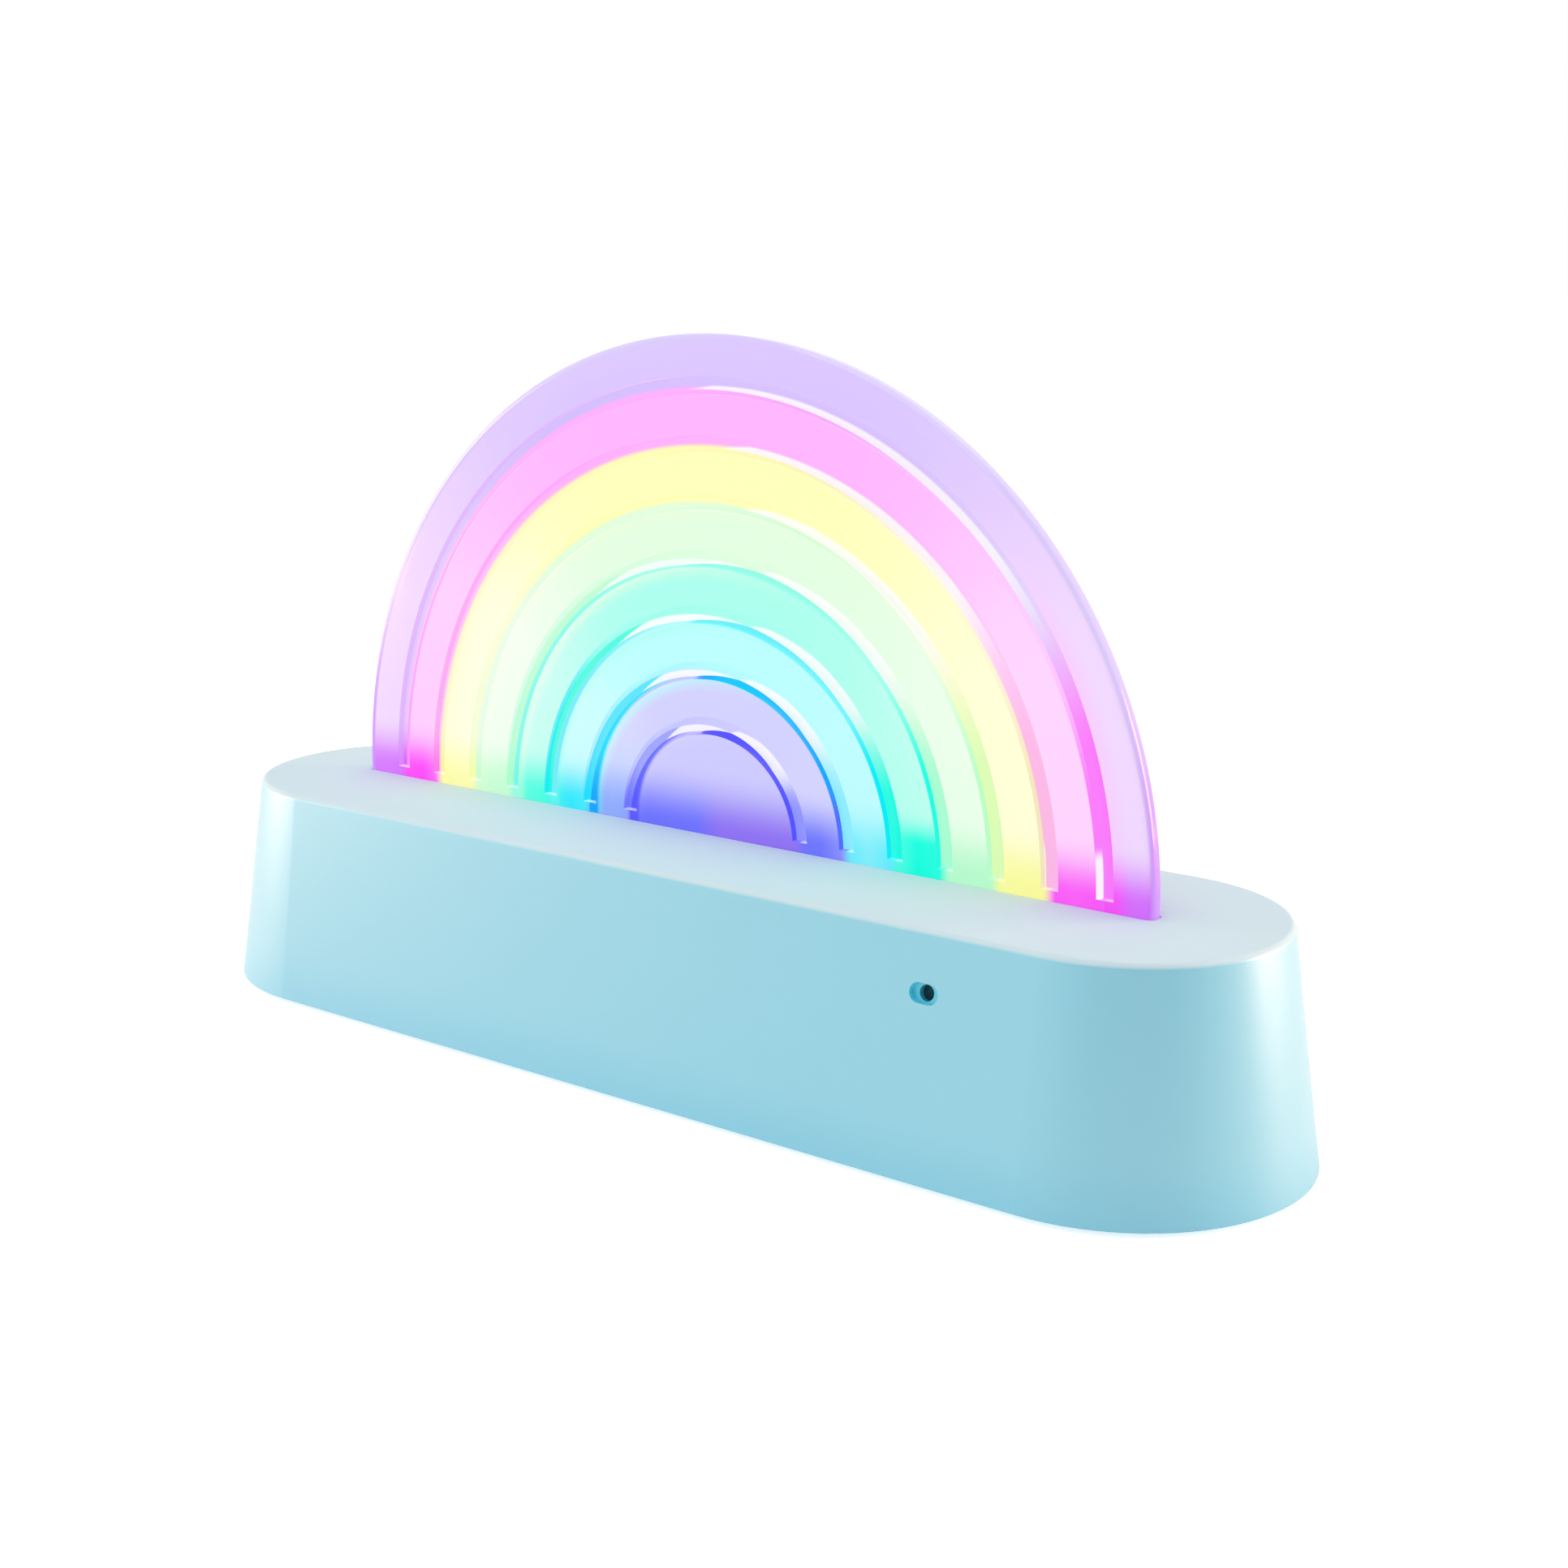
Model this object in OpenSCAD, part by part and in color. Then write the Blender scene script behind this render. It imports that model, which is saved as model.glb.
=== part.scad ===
// Rainbow table lamp: a clear edge-lit arch plate that stands in a tapered oval base.
// Millimetres, +Z up, front towards -Y. The origin is on the ground, under the middle.

/* [Base shell] */
// Length of the base at its bottom edge
base_l = 260; // [252:1:300]
// Depth of the base, front to back, at its bottom edge
base_w = 73; // [71:1:90]
// Height of the shell
base_h = 45; // [43:1:60]
// How far every side leans in over that height
draft = 6.5; // [2:0.5:7]
// Wall of the shell's sides
wall = 2.4; // [2:0.1:3]
// Thickness of the shell's top
top_t = 2.6; // [2:0.1:3.4]
// Rounding of the shell's top edge
edge_r = 1.2; // [0.6:0.1:1.8]

/* [Rainbow plate] */
// Outer radius of the arch
plate_r = 100; // [90:1:102]
// Thickness of the plate
plate_t = 4; // [3.4:0.1:5]
// Rounding of the plate's rim
rim_r = 1.4; // [0.4:0.1:1.6]
// Radius of the innermost groove, at its middle
groove_r = 22; // [18:0.5:24]
// Distance from the outermost groove's middle to the rim
outer_band = 10.5; // [9:0.25:12]
// Width of a groove
groove_w = 3.5; // [1.6:0.1:3.6]
// Depth of a groove
groove_d = 1.6; // [1:0.1:2.4]
// Height of the grooves' square ends above the shell's top
groove_lift = 2; // [1:0.25:4]
// How far the grooves' centre lies to the right of the arch's
groove_side = 0.9; // [0:0.1:1.5]
// How far the grooves' centre lies above the arch's
groove_rise = 0.6; // [0:0.1:1.5]
// Depth of the plate's tang below the shell's top
tang_d = 9; // [8.5:0.5:11]
// Width of the flange along the tang's foot
flange_w = 12; // [11:0.5:14]
// Height of that flange
flange_h = 3; // [2:0.25:4]
// Gap round the plate in the shell's slot
slot_gap = 0.2; // [0.1:0.05:0.4]
// Wall of the collar round the slot, inside the shell
collar_t = 1.8; // [1.2:0.1:2.4]

/* [Sound port] */
// Place of the port along the front
port_x = 71.3; // [66:0.1:76]
// Height of the port above the shell's bottom edge
port_z = 33.75; // [31:0.25:35]
// Length of the port's recess
port_l = 5.9; // [5:0.1:7]
// Height of the port's recess
port_h = 3.75; // [3.4:0.05:4.2]
// Depth of the port's recess
port_d = 1.2; // [0.6:0.1:1.5]
// Hole through the recess's floor
port_hole_d = 3; // [2:0.1:3.2]
// Diameter of the microphone capsule
mic_d = 6; // [5.6:0.1:6.4]
// Length of the microphone capsule
mic_l = 4.5; // [3:0.1:5]
// Wall of the microphone's rubber boot
boot_t = 1; // [0.8:0.1:1.4]
// Length of the collar that holds the boot
mic_collar_l = 5; // [4:0.25:6]

/* [Light tray] */
// Side of one LED
led_w = 5; // [4.6:0.1:5.4]
// Height of one LED
led_h = 1.6; // [1.4:0.1:2]
// Thickness of the circuit boards
board_t = 1.6; // [1.2:0.1:1.8]
// Height of the comb that parts the LEDs
comb_h = 3; // [2.4:0.1:3.6]
// Opening of the comb over each LED
comb_window = 6.2; // [5.8:0.1:7]
// Wall of the tray
tray_t = 1.6; // [1.4:0.1:2]
// Gap round what lies in the tray
tray_gap = 0.2; // [0.1:0.05:0.3]
// Place of the tray's ears along the tray
ear_x = 58; // [50:1:60]
// Diameter of the tray's ears
ear_d = 7.2; // [6.8:0.1:8]

/* [Battery bay] */
// Diameter of one cell
cell_d = 14.3; // [13.8:0.1:14.5]
// Length of a cell's can
cell_l = 49; // [48.5:0.1:49.5]
// Diameter of a cell's positive nub
nub_d = 5.4; // [5:0.1:5.6]
// Length of that nub
nub_l = 1.5; // [1:0.1:2]
// Distance between the cells' centres
cell_pitch = 15; // [14.8:0.1:15.5]
// Room for a pressed contact spring
spring_l = 6.5; // [5.5:0.25:8]
// Sheet of the contacts
contact_t = 0.5; // [0.3:0.05:0.6]
// Wall of the bay
bay_t = 2; // [1.6:0.1:2.4]
// Gap between the cells and the bay
cell_gap = 0.3; // [0.2:0.05:0.5]
// Lap of the battery door on its ledge
door_lap = 1.4; // [1.2:0.1:1.8]
// Gap round the battery door
door_gap = 0.3; // [0.25:0.05:0.5]
// Reach of the door's screw lug
lug_l = 10.5; // [10:0.5:12]
// Width of that lug
lug_w = 12; // [10:0.5:14]
// Reach of the door's two tabs
tab_l = 2; // [1.6:0.1:2.2]
// Width of one tab
tab_w = 5; // [4:0.5:5.5]
// Place of the tabs beside the door's middle line
tab_y = 8; // [7.5:0.25:9]

/* [Bottom cover] */
// Thickness of the bottom cover
cover_t = 2.2; // [2:0.1:2.6]
// Gap between the cover and the shell's walls
cover_gap = 0.2; // [0.1:0.05:0.4]
// Place of the four long-side screws along the base
cover_boss_x = 86; // [84:1:90]
// Diameter of the shell's screw bosses
boss_d = 7.2; // [6.6:0.1:8]
// Diameter of a rubber foot
foot_d = 12; // [10:0.5:14]
// Height of a foot below the cover
foot_proud = 1; // [0.6:0.1:1.6]
// Depth of a foot in its recess
foot_sink = 1; // [0.6:0.1:1.2]
// Distance of the feet's middles from the base's end
foot_end = 29; // [24:1:31]
// Place of the feet across the base
foot_y = 15; // [13:1:18]

/* [Controls] */
// Length of the control board
ctrl_l = 38; // [37:1:39]
// Width of the control board
ctrl_w = 54; // [52:1:56]
// Height of the control board's stand-offs
ctrl_lift = 4.8; // [4:0.2:5.2]
// Length of the slide switch
switch_l = 13; // [12.6:0.2:14]
// Depth of the slide switch
switch_w = 6.6; // [6:0.2:7]
// Height of the slide switch
switch_h = 6; // [5.8:0.1:6.4]
// Travel of the switch knob to each side
switch_travel = 2; // [1.5:0.1:2.1]
// Width of the switch knob
knob_w = 4; // [3.4:0.1:4.2]
// Height of the switch knob
knob_h = 2.8; // [2.4:0.1:3]
// How far the knob stands out of its pocket's floor
knob_proud = 2.2; // [1.5:0.1:2.4]
// Width of the power inlet
inlet_w = 8.94; // [8.6:0.02:9.4]
// Height of the power inlet
inlet_h = 3.26; // [3:0.02:3.6]
// Depth of the power inlet
inlet_l = 7.4; // [7:0.1:8]
// Depth of the pockets in the back, at their middle
pocket_d = 1; // [0.8:0.1:1.1]

/* [Fasteners] */
// Shank of the screws
screw_d = 2.3; // [2:0.1:2.6]
// Head of the screws
screw_head_d = 4.8; // [4.4:0.1:5.4]
// Height of a screw head
screw_head_h = 1.4; // [1.1:0.1:1.6]
// Gap between a screw and its pilot hole, on the diameter
pilot_gap = 0.1; // [0.04:0.02:0.2]
// Gap between a screw and a clearance hole, on the diameter
hole_gap = 0.5; // [0.3:0.1:0.8]

/* [Hidden] */
$fn = 72;
eps = 0.01;

// Grooves and LEDs: one LED under the middle, then one under each foot of each band
groove_count = 7;
groove_pitch = (plate_r - outer_band - groove_r) / (groove_count - 1);
led_count = 2 * groove_count + 1;
function band_r(i) = i < groove_count ? groove_r + groove_pitch * (i - 0.5)
  : plate_r - (outer_band - groove_w / 2) / 2;
function led_x(i) = i == 1 ? 0 : (i % 2 == 0 ? -1 : 1) * band_r(floor(i / 2));

// Levels, from the ground up
shell_z = foot_proud;
cover_top_z = shell_z + cover_t;
head_sink = 1.8;
cup_t = 1.8;
boss_seat_z = shell_z + head_sink + screw_head_h + cup_t;
top_z = shell_z + base_h;
under_z = top_z - top_t;
flange_z = top_z - tang_d;
flange_top_z = flange_z + flange_h;
led_board_top_z = flange_z - comb_h;
tray_floor_z = led_board_top_z - board_t;
ear_z = tray_floor_z + 0.6;
ear_t = 2;
ear_top_z = ear_z + ear_t;
ctrl_z = cover_top_z + ctrl_lift;
ctrl_top_z = ctrl_z + board_t;

// Base plan: two drafted half rounds on a straight middle
half_span = (base_l - base_w) / 2;
foot_x = base_l / 2 - foot_end;
draft_angle = atan(draft / base_h);
edge_steps = 6;
function side_y(z, inset = 0) = base_w / 2 - draft * (z - shell_z) / base_h - inset;

// Screw bosses of the shell
boss_edge = 0.8;
boss_embed = 0.6;
cover_boss_y = side_y(top_z, wall) - boss_d / 2 - boss_edge;
end_boss_x = half_span + cover_boss_y;
cover_bosses = [[-cover_boss_x, -cover_boss_y], [cover_boss_x, -cover_boss_y],
  [-cover_boss_x, cover_boss_y], [cover_boss_x, cover_boss_y],
  [-end_boss_x, 0], [end_boss_x, 0]];
cup_d = boss_d + 3.2;
cup_wall = 0.6;
cover_screw_l = 11;
pilot_extra = 3;

// Tray
tray_in_y = flange_w / 2 + tray_gap;
tray_out_y = tray_in_y + tray_t;
tray_in_x = plate_r + tray_gap;
tray_out_x = tray_in_x + tray_t;
ear_y = tray_out_y + ear_d / 2 + 1.2;
tray_ears = [for (sx = [-1, 1], sy = [-1, 1]) [sx * ear_x, sy * ear_y]];
tray_screw_l = 8;
lead_slot_x = ear_x + 4;
lead_slot_l = 10;
lead_slot_w = 4;
led_board_l = 2 * (plate_r - 1);

// Battery bay and its door
bay_l = cell_l + nub_l + spring_l + 2 * contact_t;
bay_w = 2 * cell_pitch + cell_d + 5 * cell_gap;
cell_z = cover_top_z + cell_gap + cell_d / 2;
bay_top_z = cell_z + cell_d / 2 + 2 * cell_gap;
bay_roof_z = bay_top_z + bay_t;
saddle_t = 1.6;
saddle_x = cell_l / 4;
flange_ring = 5;
ring_t = 1.6;
door_sink = 0.1;
door_z = shell_z + door_sink;
door_top_z = cover_top_z - door_sink;
door_x = bay_l / 2 + door_lap;
door_y = bay_w / 2 + door_lap;
door_t = door_top_z - door_z;
door_r = 1.5;
// The door turns about its rounded edge, at the tabs
hinge_x = -door_x + door_t / 2;
hinge_z = door_z + door_t / 2;
lug_x = door_x + lug_l / 2 + 0.5;
tab_rise = 0.15;
tab_t = 1.4;
tab_reach = norm([tab_l + door_t / 2, cover_top_z + tab_rise + tab_t - hinge_z]);
tab_pocket_z = hinge_z + tab_reach + door_gap;
door_head_h = 1.1;
door_grip = 2.5;
grip_w = 1;
grip_d = 0.5;
door_screw_gap = 0.5;
pad_w = 11;
pad_h = 9.6;
pad_z = tab_pocket_z + 0.1;
solder_tab_w = 3;
solder_tab_h = 2;
spring_wire_d = 0.8;
spring_turns = 4;
spring_big_r = cell_z - pad_z - spring_wire_d;
spring_small_r = 2.4;
// Which way each cell points: 1 has its nub towards +X
cell_way = [1, -1, 1];
function cell_y(i) = (i - 2) * cell_pitch;

// Control board, in from the back wall, and what it carries
ctrl_x0 = bay_l / 2 + flange_ring + lug_l - 1.5;
ctrl_xm = ctrl_x0 + ctrl_l / 2;
ctrl_y1 = side_y(ctrl_top_z, wall) - 0.6;
ctrl_y0 = ctrl_y1 - ctrl_w;
switch_step = 9;
inlet_step = 9.5;
switch_x = ctrl_xm + switch_step;
inlet_x = ctrl_xm - inlet_step;
switch_z = ctrl_top_z + switch_h / 2;
inlet_z = ctrl_top_z + inlet_h / 2;
switch_y1 = side_y(ctrl_top_z + switch_h, wall) - 0.4;
switch_floor_y = side_y(switch_z) - pocket_d;
inlet_floor_y = side_y(inlet_z) - pocket_d;
socket_y = ctrl_y0 + 5.5;
socket_w = 5.8;
socket_h = 6.6;
socket_top_z = ctrl_top_z + socket_h;
socket_edge = 2.8;
socket_gap = 3.6;
socket_l = [6.4, 8.4, 6.4];
socket_x = [for (k = [0:2]) ctrl_x0 + socket_edge + k * socket_gap + socket_l[k] / 2
  + (k > 0 ? socket_l[0] : 0) + (k > 1 ? socket_l[1] : 0)];
standoff_d = 5.2;
standoff_in = 3.2;
board_screw_l = 5;
board_screw_d = 1.9;
board_head_d = 4;
standoffs = [[ctrl_x0 + standoff_in, ctrl_y1 - ctrl_w / 2],
  [ctrl_x0 + ctrl_l - standoff_in, ctrl_y1 - ctrl_w / 2], [ctrl_xm - 0.5, ctrl_y1 - standoff_in]];

// Rear pockets and the switch's moving part
inlet_back_t = 1.5;
inlet_pocket_l = 13;
inlet_pocket_h = 6.4;
switch_pocket_l = 14;
switch_pocket_h = 6.4;
control_gap = 0.2;
slot_play = 0.3;
switch_skin = 0.6;
slider_l = knob_w + 0.8;
slider_d = 3;
knob_end_y = switch_floor_y + knob_proud;

// Leads: they cross between the bay's roof and the tray's floor
lead_z = (bay_roof_z + tray_floor_z - tray_t) / 2;
lead_stub = 1.2;
lead_drop = 5;
lead_side = 1;
lead_d = 1.3;
lead_sides = 8;
lead_steps = 4;

// Solid with the base's plan and draft between two levels, set in from its outside.
function half_profile(inset, z0, z1, r) = concat(
  [[side_y(z0, inset), z0]],
  r == 0 ? [[side_y(z1, inset), z1]] : [for (i = [0:edge_steps])
    let(a = draft_angle + (90 - draft_angle) * i / edge_steps)
    [side_y(z1 - r, inset) - r / cos(draft_angle) + r * cos(a), z1 - r + r * sin(a)]]);
module drafted(inset, z0, z1, r = 0) {
  half = half_profile(inset, z0, z1, r);
  for (side = [-1, 1])
    translate([side * half_span, 0, 0]) rotate([0, 0, -90 * side])
      rotate_extrude(angle = 180) polygon(concat([[0, z0]], half, [[0, z1]]));
  rotate([90, 0, 90]) linear_extrude(height = 2 * half_span, center = true)
    polygon(concat(half, [for (i = [len(half) - 1:-1:0]) [-half[i][0], half[i][1]]]));
}

// Flat bar with rounded corners, l along X and w along Y.
module round_bar(l, w, r) {
  square([l - 2 * r, w], center = true);
  square([l, w - 2 * r], center = true);
  for (sx = [-1, 1], sy = [-1, 1]) translate([sx * (l / 2 - r), sy * (w / 2 - r)]) circle(r);
}

// Block between two levels, centred on x and y.
module block(l, w, z0, z1, x = 0, y = 0) {
  translate([x, y, (z0 + z1) / 2]) cube([l, w, z1 - z0], center = true);
}

// Upright post between two levels.
module post(d, z0, z1, at = [0, 0]) {
  translate([at[0], at[1], z0]) cylinder(d = d, h = z1 - z0);
}

// Frame on the leaning front wall, its +Y pointing straight in from the outside face.
module on_front(x, z) {
  translate([x, -side_y(z), z]) rotate([-draft_angle, 0, 0]) children();
}

// Rod along +Y from y0 to y1.
module rod_y(d, y0, y1) {
  translate([0, y0, 0]) rotate([-90, 0, 0]) cylinder(d = d, h = y1 - y0);
}

// Flat bar stood on edge in the XZ plane, from y0 to y1.
module bar_y(l, h, r, y0, y1) {
  translate([0, y0, 0]) rotate([-90, 0, 0]) linear_extrude(height = y1 - y0) round_bar(l, h, r);
}

// Cross-head screw that stands upright with its head below the origin.
module screw(shank_d, length, head_d, head_h) {
  recess_l = head_d * 0.6;
  recess_w = head_d * 0.14;
  difference() {
    union() {
      translate([0, 0, -head_h]) cylinder(d1 = head_d * 0.82, d2 = head_d, h = head_h);
      cylinder(d = shank_d, h = length);
    }
    for (turn = [0, 90]) rotate([0, 0, turn])
      block(recess_l, recess_w, -head_h - eps, -head_h * 0.45);
  }
}

// Smooth path through a route's points, with its first and last stretch left straight.
function curve_at(p, i, t) =
  let(a = p[i - 1], b = p[i], c = p[i + 1], d = p[i + 2])
  0.5 * (2 * b + (c - a) * t + (2 * a - 5 * b + 4 * c - d) * t * t + (3 * b - a - 3 * c + d) * t * t * t);
function curve(p, steps) = concat([p[0]],
  [for (i = [1:len(p) - 3], k = [0:steps - 1]) curve_at(p, i, k / steps)],
  [p[len(p) - 2], p[len(p) - 1]]);
function unit(v) = v / norm(v);
function tube_faces(rings, sides) = concat(
  [[for (k = [0:sides - 1]) k]],
  [for (i = [0:rings - 2], k = [0:sides - 1]) let(a = i * sides, b = (k + 1) % sides)
    each [[a + k, a + sides + k, a + b], [a + b, a + sides + k, a + sides + b]]],
  [[for (k = [sides - 1:-1:0]) (rings - 1) * sides + k]]);
// Each ring lies square to the path; side_ref is a direction that the path never takes.
module tube(path, d, sides, side_ref) {
  last = len(path) - 1;
  points = [for (i = [0:last])
    let(t = unit(path[min(i + 1, last)] - path[max(i - 1, 0)]), u = unit(cross(t, side_ref)), v = cross(t, u))
    for (k = [0:sides - 1]) path[i] + d / 2 * (cos(360 * k / sides) * u + sin(360 * k / sides) * v)];
  polyhedron(points, tube_faces(last + 1, sides));
}
module lead(route, side_ref) {
  tube(curve(route, lead_steps), lead_d, lead_sides, side_ref);
}

module base_shell() color("#a8d6e2") difference() {
  union() {
    difference() {
      drafted(0, shell_z, top_z, edge_r);
      drafted(wall, shell_z - 1, under_z);
    }
    for (at = cover_bosses) post(boss_d, boss_seat_z, under_z + boss_embed, at);
    for (at = tray_ears) post(ear_d, ear_top_z, under_z + boss_embed, at);
    translate([0, 0, flange_top_z]) linear_extrude(height = under_z + boss_embed - flange_top_z)
      round_bar(2 * (plate_r + slot_gap + collar_t), plate_t + 2 * (slot_gap + collar_t), rim_r + collar_t);
    on_front(port_x, shell_z + port_z)
      rod_y(mic_d + 2 * (boot_t + collar_t), wall / 2, wall + mic_collar_l);
  }
  translate([0, 0, flange_top_z - 1]) linear_extrude(height = tang_d)
    round_bar(2 * (plate_r + slot_gap), plate_t + 2 * slot_gap, rim_r + slot_gap);
  on_front(port_x, shell_z + port_z) {
    bar_y(port_l, port_h, port_h / 2 - eps, -1, port_d);
    rod_y(port_hole_d, 0, wall + 1);
    rod_y(mic_d + 2 * (boot_t + tray_gap), wall, wall + mic_collar_l + 1);
  }
  for (at = cover_bosses)
    post(screw_d + pilot_gap, boss_seat_z - 1, boss_seat_z + cover_screw_l - cup_t + pilot_extra, at);
  for (at = tray_ears)
    post(screw_d + pilot_gap, ear_top_z - 1, min(ear_top_z + tray_screw_l - ear_t + 1, top_z - 1.2), at);
  translate([inlet_x, 0, inlet_z]) {
    bar_y(inlet_pocket_l, inlet_pocket_h, inlet_pocket_h / 2 - eps, inlet_floor_y, base_w / 2 + 1);
    bar_y(inlet_w + 2 * control_gap, inlet_h + 2 * control_gap, inlet_h / 2, 0, base_w / 2);
  }
  translate([switch_x, 0, switch_z]) {
    bar_y(switch_pocket_l, switch_pocket_h, switch_pocket_h / 2 - eps, switch_floor_y, base_w / 2 + 1);
    bar_y(knob_w + 2 * (switch_travel + slot_play), knob_h + 2 * slot_play, 0.4, 0, base_w / 2);
  }
}

// Pocket in the ledge and the bay's wall that lets a door tab turn up.
module tab_pocket(y) {
  block(tab_l + door_lap + 3, tab_w + 2 * door_gap, cover_top_z, tab_pocket_z,
    -door_x - tab_l / 2 + door_lap / 2 + 0.5, y);
}

module door_outline(grow) {
  round_bar(2 * (door_x + grow), 2 * (door_y + grow), door_r + grow);
  translate([door_x + lug_l / 2 - 1, 0]) round_bar(lug_l + 2 + 2 * grow, lug_w + 2 * grow, door_r + 2 + grow);
}

module base_cover() color("#b2dce6") {
  difference() {
    union() {
      drafted(wall + cover_gap, shell_z, cover_top_z);
      for (at = cover_bosses) post(cup_d, shell_z, boss_seat_z, at);
      block(bay_l + 2 * flange_ring, bay_w + 2 * flange_ring, shell_z, cover_top_z + ring_t);
      block(lug_l + 2, lug_w + 4, shell_z, cover_top_z + ring_t, door_x + lug_l / 2);
      block(bay_l + 2 * bay_t, bay_w + 2 * bay_t, shell_z, bay_roof_z);
      post(screw_d + door_screw_gap + 5.5, cover_top_z, cover_top_z + door_grip + 3, [lug_x, 0]);
      for (at = standoffs) post(standoff_d, shell_z + 1, ctrl_z, at);
    }
    block(bay_l, bay_w, shell_z - 1, bay_top_z);
    translate([0, 0, shell_z - 1]) linear_extrude(height = cover_top_z - shell_z + 1) door_outline(door_gap);
    block(door_r + door_gap, 2 * (door_y + door_gap), shell_z - 1, cover_top_z,
      -door_x + (door_r - door_gap) / 2);
    for (side = [-1, 1]) tab_pocket(side * tab_y);
    post(screw_d + door_screw_gap, shell_z, cover_top_z + door_grip + 1, [lug_x, 0]);
    for (at = cover_bosses) {
      post(cup_d - 2 * cup_wall - 1.4, shell_z - 1, boss_seat_z - cup_t, at);
      post(screw_d + hole_gap, shell_z - 1, boss_seat_z + 1, at);
    }
    for (sx = [-1, 1], sy = [-1, 1])
      post(foot_d + 2 * cover_gap, shell_z - 1, shell_z + foot_sink, [sx * foot_x, sy * foot_y]);
    for (at = standoffs) post(board_screw_d + pilot_gap, cover_top_z, ctrl_z + 1, at);
    for (side = [-1, 1])
      block(contact_t + 1, solder_tab_w + 2 * cell_gap, bay_top_z - 1, bay_roof_z + 1,
        side * (bay_l / 2 - contact_t / 2), side * cell_pitch);
  }
  difference() {
    for (side = [-1, 1])
      block(saddle_t, bay_w + bay_t, cell_z, bay_top_z + bay_t / 2, side * saddle_x);
    for (i = [1:3]) translate([0, cell_y(i), cell_z]) rotate([0, 90, 0])
      cylinder(d = cell_d + 2 * cell_gap, h = bay_l, center = true);
  }
}

module cover_screws() color("silver")
  for (at = cover_bosses) translate([at[0], at[1], boss_seat_z - cup_t])
    screw(screw_d, cover_screw_l, screw_head_d, screw_head_h);

module rubber_foot(i) color("#5a5f63") {
  at = [(i % 2 == 0 ? 1 : -1) * foot_x, (i > 2 ? 1 : -1) * foot_y];
  chamfer = 0.4;
  translate([at[0], at[1], 0]) cylinder(d1 = foot_d - 2 * chamfer, d2 = foot_d, h = chamfer);
  post(foot_d, chamfer, foot_proud + foot_sink, at);
}

// The arch, its tang and the flange that keeps it down, in one clear moulding.
module rainbow_plate() color("#e8d8ff", 0.6) {
  difference() {
    union() {
      translate([0, 0, top_z]) rotate([90, 0, 0]) rotate_extrude(angle = 180)
        intersection() {
          round_bar(2 * plate_r, plate_t, rim_r);
          translate([0, -plate_t]) square([plate_r + 1, 2 * plate_t]);
        }
      translate([0, 0, flange_z]) linear_extrude(height = tang_d)
        round_bar(2 * plate_r, plate_t, rim_r);
    }
    intersection() {
      translate([groove_side, 0, top_z + groove_rise]) rotate([90, 0, 0]) rotate_extrude(angle = 180)
        for (i = [0:groove_count - 1])
          translate([groove_r + i * groove_pitch - groove_w / 2, plate_t / 2 - groove_d])
            square([groove_w, groove_d + 1]);
      block(2 * plate_r, 4 * plate_t, top_z + groove_lift, top_z + plate_r + 1);
    }
  }
  translate([0, 0, flange_z]) linear_extrude(height = flange_h)
    round_bar(2 * plate_r, flange_w, rim_r);
}

module light_tray() color("white") difference() {
  union() {
    translate([0, 0, tray_floor_z - tray_t]) linear_extrude(height = flange_top_z - tray_floor_z + tray_t)
      round_bar(2 * tray_out_x, 2 * tray_out_y, tray_t);
    for (at = tray_ears) {
      post(ear_d, ear_z, ear_top_z, at);
      block(ear_d, abs(at[1]) - tray_in_y, ear_z, ear_top_z,
        at[0], sign(at[1]) * (abs(at[1]) + tray_in_y) / 2);
    }
  }
  block(2 * tray_in_x, 2 * tray_in_y, tray_floor_z, flange_top_z + 1);
  for (at = tray_ears) post(screw_d + hole_gap, ear_z - 1, ear_top_z + 1, at);
  block(lead_slot_l, lead_slot_w, tray_floor_z - tray_t - 1, tray_floor_z + 1, lead_slot_x);
}

module light_comb() color("whitesmoke") difference() {
  translate([0, 0, led_board_top_z]) linear_extrude(height = comb_h)
    round_bar(2 * (plate_r - tray_gap), flange_w, rim_r);
  for (i = [1:led_count])
    block(comb_window, comb_window, led_board_top_z - 1, flange_z + 1, led_x(i));
}

module tray_screws() color("silver")
  for (at = tray_ears) translate([at[0], at[1], ear_z])
    screw(screw_d, tray_screw_l, screw_head_d, screw_head_h);

module led_board() color("white")
  block(led_board_l, flange_w, tray_floor_z, led_board_top_z);

module led(i) color("lightyellow") {
  cup_d = led_w * 0.72;
  cup_depth = led_h * 0.35;
  difference() {
    block(led_w, led_w, led_board_top_z, led_board_top_z + led_h, led_x(i));
    post(cup_d, led_board_top_z + led_h - cup_depth, led_board_top_z + led_h + 1, [led_x(i), 0]);
  }
}

module control_board() color("darkgreen") difference() {
  block(ctrl_l, ctrl_w, ctrl_z, ctrl_top_z, ctrl_xm, (ctrl_y0 + ctrl_y1) / 2);
  for (at = standoffs) post(board_screw_d + hole_gap, ctrl_z - 1, ctrl_top_z + 1, at);
}

module board_screws() color("silver")
  for (at = standoffs) translate([at[0], at[1], ctrl_top_z]) rotate([180, 0, 0])
    screw(board_screw_d, board_screw_l, board_head_d, screw_head_h);

module main_chip() color("#202224") {
  chip_step = [4, 18];
  at = [ctrl_xm, ctrl_y0] + chip_step;
  chip_l = 10;
  chip_w = 4;
  chip_h = 1.6;
  pin_pitch = 1.27;
  pin_w = 0.4;
  pin_reach = 1;
  block(chip_l, chip_w, ctrl_top_z + 0.1, ctrl_top_z + chip_h, at[0], at[1]);
  for (k = [-3.5:3.5])
    block(pin_w, chip_w + 2 * pin_reach, ctrl_top_z, ctrl_top_z + 0.3, at[0] + k * pin_pitch, at[1]);
}

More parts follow.
